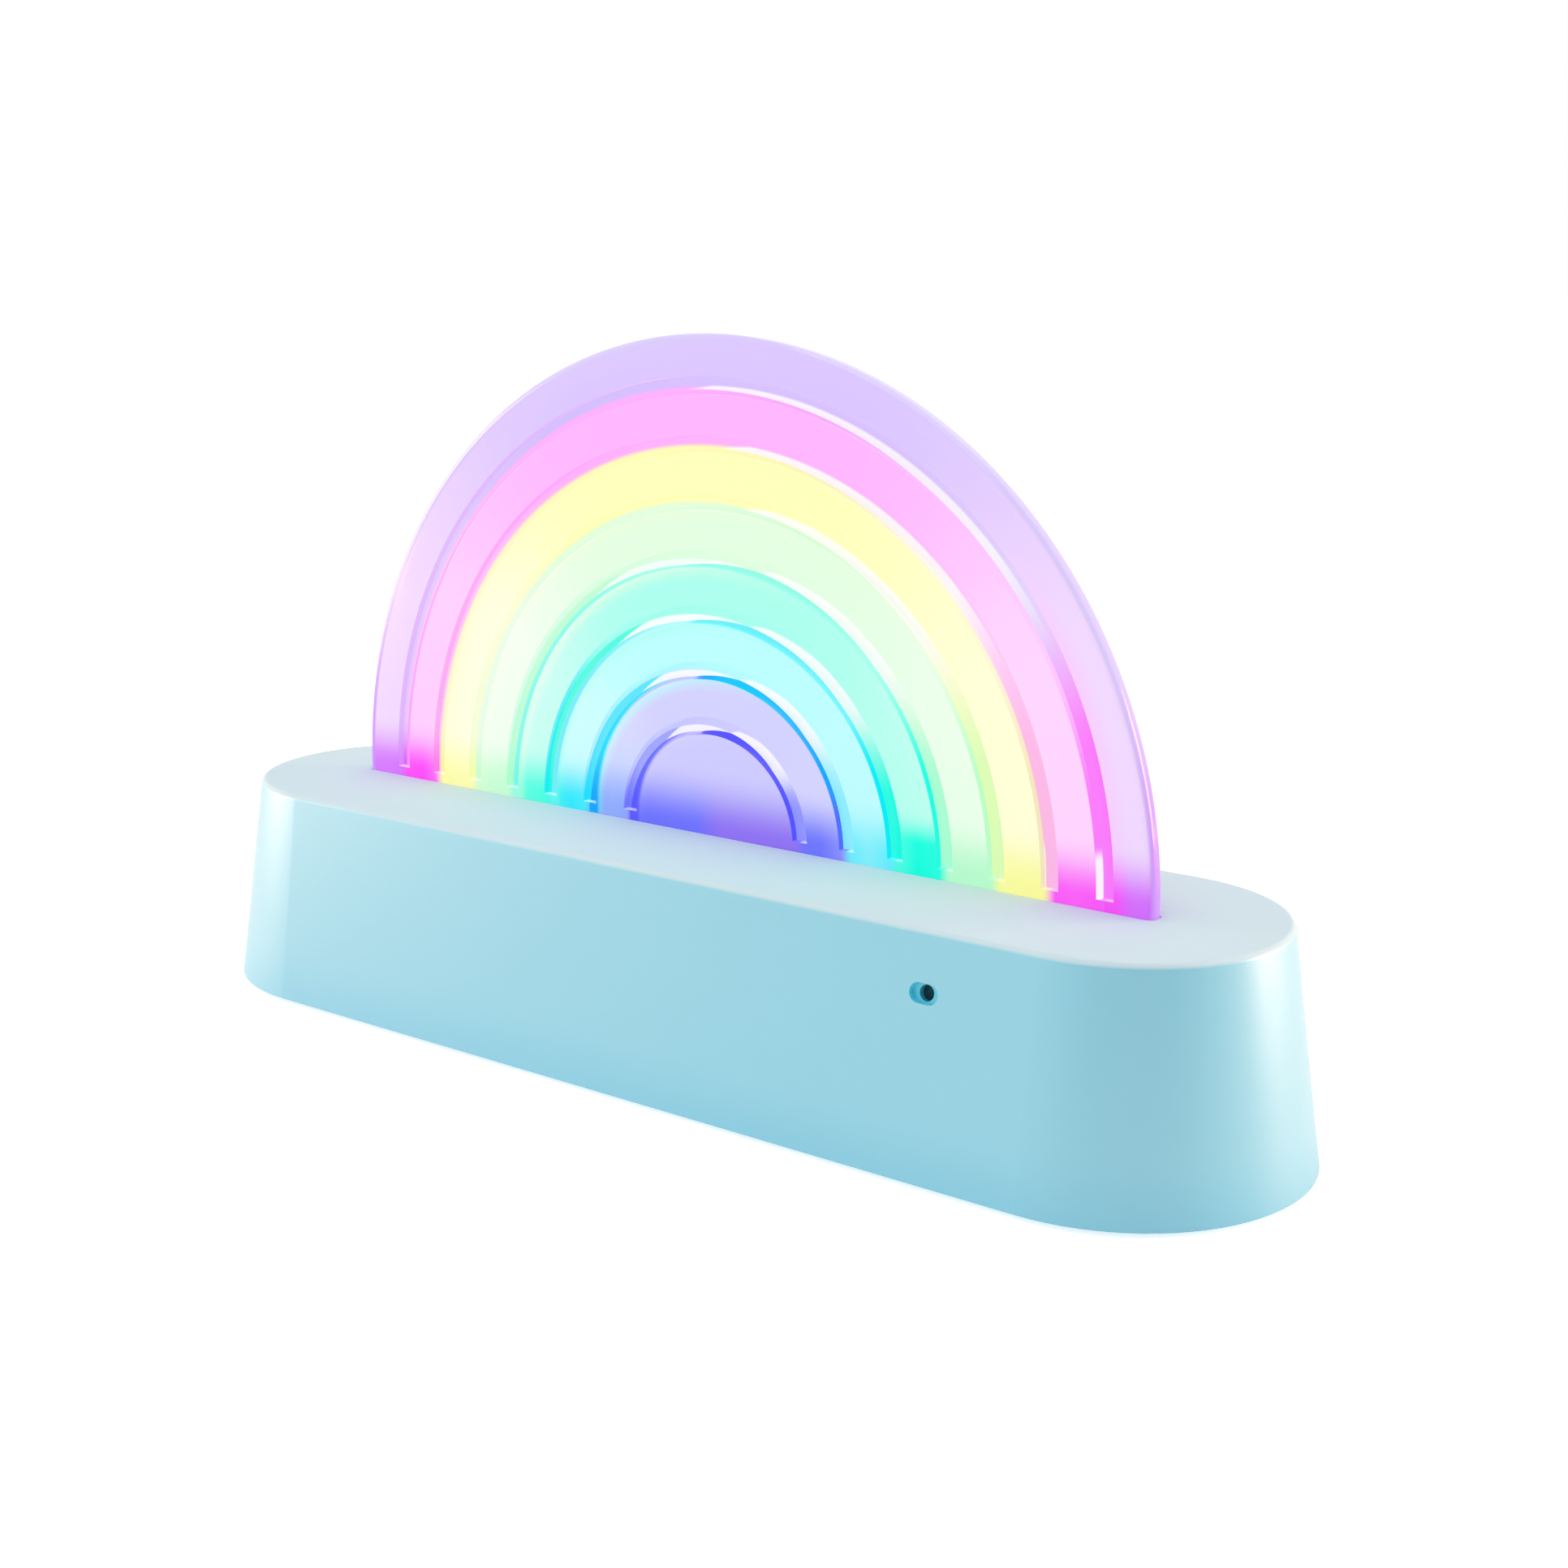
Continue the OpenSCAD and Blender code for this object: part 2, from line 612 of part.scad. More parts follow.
module smoothing_capacitor() color("#303c52") {
  can_step = [-10, 20];
  at = [ctrl_xm, ctrl_y0] + can_step;
  can_d = 6.3;
  can_h = 9;
  rim = 0.6;
  post(can_d, ctrl_top_z, ctrl_top_z + can_h - rim, at);
  translate([at[0], at[1], ctrl_top_z + can_h - rim]) cylinder(d1 = can_d, d2 = can_d - 2 * rim, h = rim);
}

module chip_resistors() color("#2c2c2c") {
  chip_l = 2;
  chip_w = 1.25;
  chip_h = 0.5;
  step_x = 3.4;
  step_y = 3;
  row_x = ctrl_xm - 4;
  row_y = ctrl_y0 + ctrl_w / 2;
  for (k = [0:5])
    block(chip_l, chip_w, ctrl_top_z, ctrl_top_z + chip_h, row_x + step_x * k, row_y + (k % 2) * step_y);
}

module lead_sockets() color("ivory")
  for (k = [0:2]) difference() {
    block(socket_l[k], socket_w, ctrl_top_z, socket_top_z, socket_x[k], socket_y);
    block(socket_l[k] - 1.6, 1.2, socket_top_z - 1, socket_top_z + 1, socket_x[k], socket_y - socket_w / 2);
  }

// Sheet-metal case of the switch, open at the back wall for the knob.
module slide_switch() color("silver") translate([switch_x, 0, 0]) difference() {
  block(switch_l, switch_w, ctrl_top_z, ctrl_top_z + switch_h, 0, switch_y1 - switch_w / 2);
  block(slider_l + 2 * (switch_travel + slot_play), slider_d + 2 * control_gap,
    switch_z - knob_h / 2 - 0.6 - control_gap, switch_z + knob_h / 2 + 0.6 + control_gap,
    0, switch_y1 - switch_skin - slider_d / 2 - control_gap);
  translate([0, 0, switch_z])
    bar_y(knob_w + 2 * (switch_travel + slot_play), knob_h + 2 * control_gap, 0.3,
      switch_y1 - switch_skin - 1, switch_y1 + 1);
}

module switch_knob() color("#f4f6f7") translate([switch_x, 0, 0]) {
  rib_t = 0.5;
  block(slider_l, slider_d, switch_z - knob_h / 2 - 0.6, switch_z + knob_h / 2 + 0.6,
    0, switch_y1 - switch_skin - slider_d / 2 - control_gap);
  translate([0, 0, switch_z])
    bar_y(knob_w, knob_h, 0.3, switch_y1 - switch_skin - control_gap - 1, knob_end_y - rib_t);
  for (k = [-1:1])
    block(knob_w / 6, rib_t + 0.2, switch_z - knob_h / 2 + 0.1, switch_z + knob_h / 2 - 0.1,
      k * knob_w / 3, knob_end_y - rib_t / 2 - 0.1);
}

module power_inlet() color("silver") translate([inlet_x, 0, inlet_z]) {
  skin = 0.3;
  inner_r = inlet_h / 2 - skin - eps;
  back_y = inlet_floor_y - inlet_l;
  difference() {
    bar_y(inlet_w, inlet_h, inlet_h / 2 - eps, back_y, inlet_floor_y);
    bar_y(inlet_w - 2 * skin, inlet_h - 2 * skin, inner_r, back_y + inlet_back_t, inlet_floor_y + 1);
  }
}

module inlet_tongue() color("#26282a") translate([inlet_x, 0, inlet_z]) {
  tongue_w = 6.7;
  tongue_h = 0.7;
  mouth = 0.9;
  bar_y(tongue_w, tongue_h, 0.2, inlet_floor_y - inlet_l + inlet_back_t, inlet_floor_y - mouth);
}

module microphone() color("silver") on_front(port_x, shell_z + port_z)
  rod_y(mic_d, wall + boot_t, wall + boot_t + mic_l);

module microphone_boot() color("#2b2b2d") on_front(port_x, shell_z + port_z) difference() {
  rod_y(mic_d + 2 * boot_t, wall, wall + boot_t + mic_l);
  rod_y(mic_d, wall + boot_t, wall + boot_t + mic_l + 1);
  rod_y(port_hole_d, wall - 1, wall + boot_t + 1);
}

module battery(i) color("#4f9e6a")
  translate([cell_way[i - 1] * (bay_l / 2 - contact_t), cell_y(i), cell_z])
    rotate([0, -90 * cell_way[i - 1], 0]) {
      cylinder(d = nub_d, h = nub_l + 1);
      translate([0, 0, nub_l]) cylinder(d1 = cell_d - 1.2, d2 = cell_d, h = 0.6);
      translate([0, 0, nub_l + 0.6]) cylinder(d = cell_d, h = cell_l - 0.6);
    }

// Conical spring from the negative pad to the cell, as one unbroken wire.
module battery_spring(i) {
  way = -cell_way[i - 1];
  steps = spring_turns * 14;
  x0 = bay_l / 2 - contact_t - spring_wire_d / 2 - 0.03;
  run = spring_l - spring_wire_d - 0.06;
  path = [for (k = [0:steps]) let(t = k / steps, a = 360 * spring_turns * t,
      r = spring_big_r + (spring_small_r - spring_big_r) * t)
    [way * (x0 - run * t), cell_y(i) + r * cos(a), cell_z + r * sin(a)]];
  tube(path, spring_wire_d, 6, [1, 0, 0]);
}
module battery_springs() color("silver") for (i = [1:3]) battery_spring(i);

// Sheet contacts: a pad behind every cell end; two strips join the cells in a row.
module battery_contacts() color("gainsboro") for (side = [-1, 1]) {
  x = side * (bay_l / 2 - contact_t / 2);
  single_y = side * cell_pitch;
  block(contact_t, pad_w, pad_z, pad_z + pad_h, x, single_y);
  block(contact_t, solder_tab_w, pad_z + pad_h - 1, bay_roof_z + solder_tab_h, x, single_y);
  block(contact_t, pad_w + cell_pitch, pad_z, pad_z + pad_h, x, -single_y / 2);
}

module battery_door() color("#a8d6e2") difference() {
  union() {
    intersection() {
      translate([0, 0, door_z]) linear_extrude(height = door_t) door_outline(0);
      union() {
        block(2 * door_x + lug_l, 3 * door_y, door_z - 1, door_top_z + 1, hinge_x + door_x + lug_l / 2);
        translate([hinge_x, 0, hinge_z]) rod_y(door_t, -door_y, door_y);
      }
    }
    for (side = [-1, 1]) {
      block(door_lap, tab_w, hinge_z, cover_top_z + tab_rise + tab_t, -door_x + door_lap / 2, side * tab_y);
      block(tab_l + door_lap, tab_w, cover_top_z + tab_rise, cover_top_z + tab_rise + tab_t,
        -door_x - tab_l / 2 + door_lap / 2, side * tab_y);
    }
  }
  post(screw_d + hole_gap, door_z - 1, door_top_z + 1, [lug_x, 0]);
  post(screw_head_d + hole_gap, door_z - 1, door_z + door_head_h, [lug_x, 0]);
  for (k = [1:5]) block(grip_w, lug_w - grip_w, door_z - 1, door_z + grip_d, door_x - 2 * k * grip_w - 2, 0);
}

module door_screw() color("silver") translate([lug_x, 0, door_z + door_head_h])
  screw(screw_d, door_t - door_head_h + door_grip, screw_head_d, door_head_h - door_sink);

module battery_lead_red() color("firebrick") {
  from = [bay_l / 2 - contact_t / 2, cell_pitch, bay_roof_z + solder_tab_h];
  to = [socket_x[0] + lead_side, socket_y, socket_top_z];
  over_bay = [[lug_x, cell_pitch / 2, lead_z], [ctrl_x0, -tray_in_y / 2, lead_z]];
  down = [to + [0, 2 * lead_side, lead_drop], to + [0, 0, lead_stub], to];
  lead(concat([from, from + [0, 0, lead_stub]], over_bay, down), [1, 0.6, 0]);
}

module battery_lead_black() color("#222222") {
  from = [-bay_l / 2 + contact_t / 2, -cell_pitch, bay_roof_z + solder_tab_h];
  to = [socket_x[0] - lead_side, socket_y, socket_top_z];
  over_bay = [for (k = [-2:2:2]) [k / 6 * bay_l, socket_y, lead_z]];
  down = [to + [-lead_side, 0, lead_drop], to + [0, 0, lead_stub], to];
  lead(concat([from, from + [0, 0, lead_stub]], over_bay, down), [0, 1, 0]);
}

module led_leads() color("gainsboro") for (k = [-1:1]) {
  from = [lead_slot_x + 2.4 * lead_side * k, 0, tray_floor_z];
  to = [socket_x[1] + 2 * lead_side * k, socket_y, socket_top_z];
  lead([from, from - [0, 0, 2 * lead_stub], (from + to) / 2, to + [0, 0, 2 * lead_stub], to], [1, 0, 0]);
}

module microphone_leads() color("goldenrod") for (k = [-1, 1]) {
  inward = [0, cos(draft_angle), -sin(draft_angle)];
  port = [port_x + 1.2 * lead_side * k, -side_y(shell_z + port_z), shell_z + port_z];
  from = port + (wall + boot_t + mic_l) * inward;
  to = [socket_x[2] + lead_side * k, socket_y, socket_top_z];
  bend = lead_drop * [0, 1, -0.8];
  lead([from, from + lead_stub * inward, from + bend, to + [0, 0, lead_drop + 1], to + [0, 0, lead_stub], to],
    [1, 0, 0]);
}

base_shell();
base_cover();
cover_screws();
for (i = [1:4]) rubber_foot(i);
rainbow_plate();
light_tray();
light_comb();
tray_screws();
led_board();
for (i = [1:led_count]) led(i);
control_board();
board_screws();
main_chip();
smoothing_capacitor();
chip_resistors();
lead_sockets();
slide_switch();
switch_knob();
power_inlet();
inlet_tongue();
microphone();
microphone_boot();
for (i = [1:3]) battery(i);
battery_springs();
battery_contacts();
battery_door();
door_screw();
battery_lead_red();
battery_lead_black();
led_leads();
microphone_leads();
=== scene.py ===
# Rainbow table lamp: materials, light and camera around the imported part.
# Blender works in metres, +Z up, front towards -Y. The dictionaries give sizes in millimetres.
import math

import bmesh
import bpy
from mathutils import Matrix, Vector


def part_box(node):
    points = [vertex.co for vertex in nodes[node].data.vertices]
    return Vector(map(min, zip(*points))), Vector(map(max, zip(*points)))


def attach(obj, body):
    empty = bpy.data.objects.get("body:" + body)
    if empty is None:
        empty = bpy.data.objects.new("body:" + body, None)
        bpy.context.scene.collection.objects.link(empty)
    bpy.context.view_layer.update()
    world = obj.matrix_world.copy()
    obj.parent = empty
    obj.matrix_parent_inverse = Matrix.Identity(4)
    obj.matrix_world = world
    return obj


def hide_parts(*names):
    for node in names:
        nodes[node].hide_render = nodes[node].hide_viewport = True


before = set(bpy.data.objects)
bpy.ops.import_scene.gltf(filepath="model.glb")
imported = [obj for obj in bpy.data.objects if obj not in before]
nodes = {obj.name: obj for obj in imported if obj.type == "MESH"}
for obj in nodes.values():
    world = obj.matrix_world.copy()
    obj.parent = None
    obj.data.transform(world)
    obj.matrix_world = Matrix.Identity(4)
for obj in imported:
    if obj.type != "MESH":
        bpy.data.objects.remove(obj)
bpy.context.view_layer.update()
scene = bpy.context.scene
mm = 0.001
print("frame loaded:", len(nodes), "nodes")


def colour(hexCode):  # sRGB hex to the linear colour that Blender's sockets take
    parts = [int(hexCode[i:i + 2], 16) / 255 for i in (1, 3, 5)]
    return [p / 12.92 if p <= 0.04045 else ((p + 0.055) / 1.055) ** 2.4 for p in parts] + [1.0]


def addNode(tree, kind, inputs=(), stops=(), **settings):  # one node with its settings and links; gives its output
    node = tree.nodes.new("ShaderNode" + kind)
    for name, value in settings.items():
        setattr(node, name, value)
    inUse = [socket for socket in node.inputs if socket.enabled]
    given = inputs.items() if isinstance(inputs, dict) else enumerate(inputs)
    for key, value in given:
        socket = node.inputs[key] if isinstance(key, str) else inUse[key]
        if isinstance(value, bpy.types.NodeSocket):
            tree.links.new(value, socket)
        else:
            socket.default_value = colour(value) if isinstance(value, str) else value
    if stops:
        elements = node.color_ramp.elements
        while len(elements) < len(stops):
            elements.new(1.0)
        for element, (position, code) in zip(elements, stops):
            element.position, element.color = position, colour(code) if isinstance(code, str) else code
    return next((socket for socket in node.outputs if socket.enabled), node)


def newMaterial(name, **shaderInputs):  # a material with its shader, whose fixed values are given by socket name
    material = bpy.data.materials.new(name)
    material.use_nodes = True
    tree = material.node_tree
    tree.nodes.clear()
    shader = addNode(tree, "BsdfPrincipled", {key.replace("_", " "): v for key, v in shaderInputs.items()})
    addNode(tree, "OutputMaterial", {"Surface": shader})
    return material, tree, shader.node


def dress(material, *names):
    for name in names:
        nodes[name].data.materials.clear()
        nodes[name].data.materials.append(material)


# Camera, where the photograph's outline of the lamp puts it
photoCamera = {
    "place": (260.26, -328.14, 155.50),
    "turn": 36.487,  # degrees to the left of +Y
    "tilt": 13.336,  # degrees down
    "roll": 0.120,
    "lens": 48.55, "sensor": 36.0,
    "clip": (0.02, 30),  # metres
}


def addPhotoCamera(s):
    data = bpy.data.cameras.new("photoCamera")
    data.lens, data.sensor_width = s["lens"], s["sensor"]
    data.clip_start, data.clip_end = s["clip"]
    camera = bpy.data.objects.new("photoCamera", data)
    scene.collection.objects.link(camera)
    turned = Matrix.Rotation(math.radians(s["turn"]), 4, "Z") @ Matrix.Rotation(math.radians(90 - s["tilt"]), 4, "X")
    camera.matrix_world = (
        Matrix.Translation(Vector(s["place"]) * mm) @ turned @ Matrix.Rotation(math.radians(s["roll"]), 4, "Z")
    )
    scene.camera = camera


addPhotoCamera(photoCamera)
print("camera placed")

# Studio: a white sweep with soft boxes, and nothing on view but the floor's own shadow
studio = {
    "ambient": 0.45,  # what the white room gives to matt surfaces
    "ambientTint": "#fcfeff",
    "backdrop": 1.0,  # what the camera, gloss and clear plastic see of it
    "card": (0.60, -0.79, 0.12),  # which way a grey card stands, that only gloss sees
    "cardEdge": (0.68, 0.9),  # cosines of the angle from its middle between which it sets in
    "cardLevel": 0.15,
    "floorSize": 40000,
    "floorColour": "#f4f5f6",
    "floorLift": 0.62,
    # name: degrees round from +X, degrees up, distance, size, watts, tint
    "boxes": {
        "rightBox": (37, 8, 800, 320, 5.3, "#ffd4bc"),
        "leftBox": (201, 8, 800, 400, 4.0, "#ffdec9"),
        "topBox": (270, 80, 1300, 1000, 9.0, "#fffcfa"),
        "backBox": (110, 55, 1200, 800, 1.2, "#fffcfa"),
        "underBox": (270, -88, 900, 900, 5.0, "#fff4ee"),  # for the underside alone: the walls lean away from it
        "frontBox": (307, 6, 900, 500, 0.9, "#fffefc"),
    },
    "noGloss": ("frontBox",),  # a bounce card, too weak to show in the gloss
    "aim": (0, 0, 30),
}


def buildStudio(s):
    world = bpy.data.worlds.new("whiteRoom")
    world.use_nodes = True
    tree = world.node_tree
    tree.nodes.clear()
    rays = addNode(tree, "LightPath").node.outputs
    seen = addNode(tree, "Math", [rays["Is Camera Ray"], rays["Is Glossy Ray"]], operation="MAXIMUM")
    seen = addNode(tree, "Math", [seen, rays["Is Transmission Ray"]], operation="MAXIMUM")
    strength = addNode(tree, "MapRange", [seen, 0, 1, s["ambient"], s["backdrop"]])
    direction = addNode(tree, "TexCoord").node.outputs["Generated"]
    toCard = addNode(tree, "VectorMath", [direction, s["card"]], operation="DOT_PRODUCT").node.outputs["Value"]
    toCard = addNode(tree, "MapRange", [toCard, *s["cardEdge"]])
    toCard = addNode(tree, "Math", [toCard, rays["Is Glossy Ray"]], operation="MULTIPLY")
    strength = addNode(tree, "Mix", [toCard, strength, s["cardLevel"]])
    tint = addNode(tree, "Mix", [seen, s["ambientTint"], "#ffffff"], data_type="RGBA")
    light = addNode(tree, "Background", {"Color": tint, "Strength": strength})
    addNode(tree, "OutputWorld", {"Surface": light})
    scene.world = world

    bm = bmesh.new()
    bmesh.ops.create_grid(bm, x_segments=1, y_segments=1, size=s["floorSize"] * mm / 2)
    mesh = bpy.data.meshes.new("floor")
    bm.to_mesh(mesh)
    bm.free()
    floor = bpy.data.objects.new("floor", mesh)
    scene.collection.objects.link(floor)
    material, tree, shader = newMaterial("paleFloor", Base_Color=s["floorColour"], Roughness=0.9,
                                         Emission_Color="#ffffff")
    rays = addNode(tree, "LightPath").node.outputs
    lift = addNode(tree, "Math", [rays["Is Camera Ray"], s["floorLift"]], operation="MULTIPLY")
    tree.links.new(lift, shader.inputs["Emission Strength"])
    # From below the floor is not there, so that the underside and the open door can be looked at
    fromBelow = addNode(tree, "NewGeometry").node.outputs["Backfacing"]
    openTo = addNode(tree, "Math", [fromBelow, rays["Is Shadow Ray"]], operation="MAXIMUM")
    clear = addNode(tree, "BsdfTransparent")
    surface = addNode(tree, "MixShader", [openTo, shader.outputs["BSDF"], clear])
    output = next(node for node in tree.nodes if node.type == "OUTPUT_MATERIAL")
    tree.links.new(surface, output.inputs["Surface"])
    mesh.materials.append(material)

    for name, (turn, rise, distance, size, watts, tint) in s["boxes"].items():
        data = bpy.data.lights.new(name, "AREA")
        data.shape, data.size, data.energy = "SQUARE", size * mm, watts
        data.color = colour(tint)[:3]
        box = bpy.data.objects.new(name, data)
        scene.collection.objects.link(box)
        turned = Matrix.Rotation(math.radians(turn), 3, "Z") @ Matrix.Rotation(math.radians(-rise), 3, "Y")
        out = turned @ Vector((1, 0, 0))
        box.location = (Vector(s["aim"]) + out * distance) * mm
        box.rotation_euler = out.to_track_quat("Z", "Y").to_euler()
        box.visible_glossy = name not in s["noGloss"]


buildStudio(studio)
scene.view_settings.view_transform = "Standard"
print("studio built")

# The clear plate, turned as one profile and cut off square above the slot
plateSizes = {
    "radius": 100, "thick": 4, "rimRound": 1.4, "rimSteps": 7,
    "grooveFirst": 22, "groovePitch": 11.25, "grooveCount": 7, "grooveWide": 3.5, "grooveDeep": 1.6,
    "grooveLift": 2, "grooveEdge": 0.12, "edgeSteps": 2, "grooveFillet": 0.15, "filletSteps": 3,
    "grooveSide": 0.9, "grooveRise": 0.6,  # from the rim's centre to the grooves'
    "shiftFades": (93, 98),
    "topLevel": 46, "tangDeep": 9, "flangeWide": 12, "flangeHigh": 3,
    "turnSteps": 200, "sharpAngle": 20,  # degrees
    "weld": 0.001, "slack": 0.02,  # how near doubles lie, and room by which a groove's own edges are picked out
}


def makeRainbowPlate(s):
    half, floorY = s["thick"] / 2, -s["thick"] / 2 + s["grooveDeep"]
    centres = [s["grooveFirst"] + i * s["groovePitch"] for i in range(s["grooveCount"])]
    bm = bmesh.new()

    def at(x, y):
        return bm.verts.new((x, y, 0))

    line, lips, fillets = [at(0, -half)], [], []
    for centre in centres:
        inner, outer = centre - s["grooveWide"] / 2, centre + s["grooveWide"] / 2
        corners = [at(inner, -half), at(inner, floorY), at(outer, floorY), at(outer, -half)]
        line += corners
        lips += [corners[0], corners[3]]
        fillets += corners[1:3]
    rim = [at(s["radius"], -half), at(s["radius"], half)]
    line += rim + [at(0, half)]
    for a, b in zip(line, line[1:]):
        bm.edges.new((a, b))
    for corners, size, steps in ((rim, "rimRound", "rimSteps"), (lips, "grooveEdge", "edgeSteps"),
                                 (fillets, "grooveFillet", "filletSteps")):
        bmesh.ops.bevel(bm, geom=corners, offset=s[size], offset_type="OFFSET", segments=s[steps], profile=0.5,
                        affect="VERTICES", material=-1)
    bmesh.ops.spin(bm, geom=bm.verts[:] + bm.edges[:], cent=(0, 0, 0), axis=(0, -1, 0),
                   angle=math.pi, steps=s["turnSteps"])
    bmesh.ops.remove_doubles(bm, verts=bm.verts, dist=s["weld"])

    # Move the grooves over, and leave the rim where it is
    near, far = s["shiftFades"]
    for vert in bm.verts:
        share = min(1, max(0, (far - math.hypot(vert.co.x, vert.co.z)) / (far - near)))
        vert.co += Vector((s["grooveSide"], 0, s["grooveRise"])) * share

    # Below the grooves' square ends the plate is plain: cut there, close the ends, draw the rest down
    bmesh.ops.bisect_plane(bm, geom=bm.verts[:] + bm.edges[:] + bm.faces[:], dist=s["weld"] / 100,
                           plane_co=(0, 0, s["grooveLift"]), plane_no=(0, 0, 1), clear_inner=True)
    for centre in centres:
        reach = s["grooveWide"] / 2 + s["grooveEdge"] + s["slack"]
        drop = s["grooveLift"] - s["grooveRise"]
        ends = [math.sqrt(r * r - drop ** 2) for r in (centre - reach, centre + reach)]
        for side in (-1, 1):
            cut = [e for e in bm.edges if e.is_boundary and all(
                ends[0] < side * (v.co.x - s["grooveSide"]) < ends[1] and v.co.y < 0 for v in e.verts)]
            onFace = {v for e in cut for v in e.verts if v.co.y + half < s["slack"] / 2}
            corners = sorted(onFace, key=lambda v: v.co.x)
            lip = bm.edges.new((corners[0], corners[-1]))
            bmesh.ops.edgenet_fill(bm, edges=cut + [lip])
    stages = (
        ((0, 0, -s["grooveLift"]), 1),
        ((0, 0, s["flangeHigh"] - s["tangDeep"]), 1),
        ((0, 0, 0), s["flangeWide"] / s["thick"]),
        ((0, 0, -s["flangeHigh"]), 1),
    )
    edge = [e for e in bm.edges if e.is_boundary]
    for move, widen in stages:
        drawn = bmesh.ops.extrude_edge_only(bm, edges=edge)["geom"]
        verts = [g for g in drawn if isinstance(g, bmesh.types.BMVert)]
        edge = [g for g in drawn if isinstance(g, bmesh.types.BMEdge)]
        bmesh.ops.translate(bm, verts=verts, vec=move)
        bmesh.ops.scale(bm, verts=verts, vec=(1, widen, 1))
        edge = [e for e in edge if e.is_boundary]
    bmesh.ops.edgenet_fill(bm, edges=edge)
    bmesh.ops.translate(bm, verts=bm.verts, vec=(0, 0, s["topLevel"]))
    bmesh.ops.scale(bm, verts=bm.verts, vec=(mm, mm, mm))
    bmesh.ops.recalc_face_normals(bm, faces=bm.faces)
    mesh = bpy.data.meshes.new("litPlate")
    bm.to_mesh(mesh)
    print("plate open edges:", len([e for e in bm.edges if e.is_boundary]), "faces:", len(bm.faces))
    bm.free()
    mesh.polygons.foreach_set("use_smooth", [True] * len(mesh.polygons))
    mesh.set_sharp_from_angle(angle=math.radians(s["sharpAngle"]))
    plate = bpy.data.objects.new("litPlate", mesh)
    scene.collection.objects.link(plate)
    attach(plate, "lamp")
    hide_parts("rainbow_plate")
    return plate


# Edge-lit clear acrylic. Each band has its own LED at either foot: its colour is deepest by the LED, turns
# pale a little way up and soft over the top. What leaks out at a groove's wall is deeper again.
bandLight = {
    # band: by its LED, over the top, at its outer wall; how strong the LEDs at its right and left foot are
    "dome": ("#9274f6", "#cbc9ff", "#5a58ff", 1.0, 1.0),
    "periwinkle": ("#7078ff", "#cfcfff", "#00a4ff", 1.0, 0.75),
    "sky": ("#10eafe", "#b6fbff", "#0aecfc", 0.5, 0.95),
    "turquoise": ("#00ffe2", "#a6feec", "#12faea", 1.0, 0.75),
    "leaf": ("#b8fed0", "#deffe1", "#bcfcd4", 0.9, 0.55),
    "lemon": ("#ffffa0", "#fefebb", "#f2f4be", 0.95, 0.3),
    "pink": ("#ff48fb", "#ffb4fe", "#fd88fa", 0.85, 1.0),
    "lavender": ("#d870ff", "#d6c4fe", "#dcb0fe", 1.0, 0.9),
}
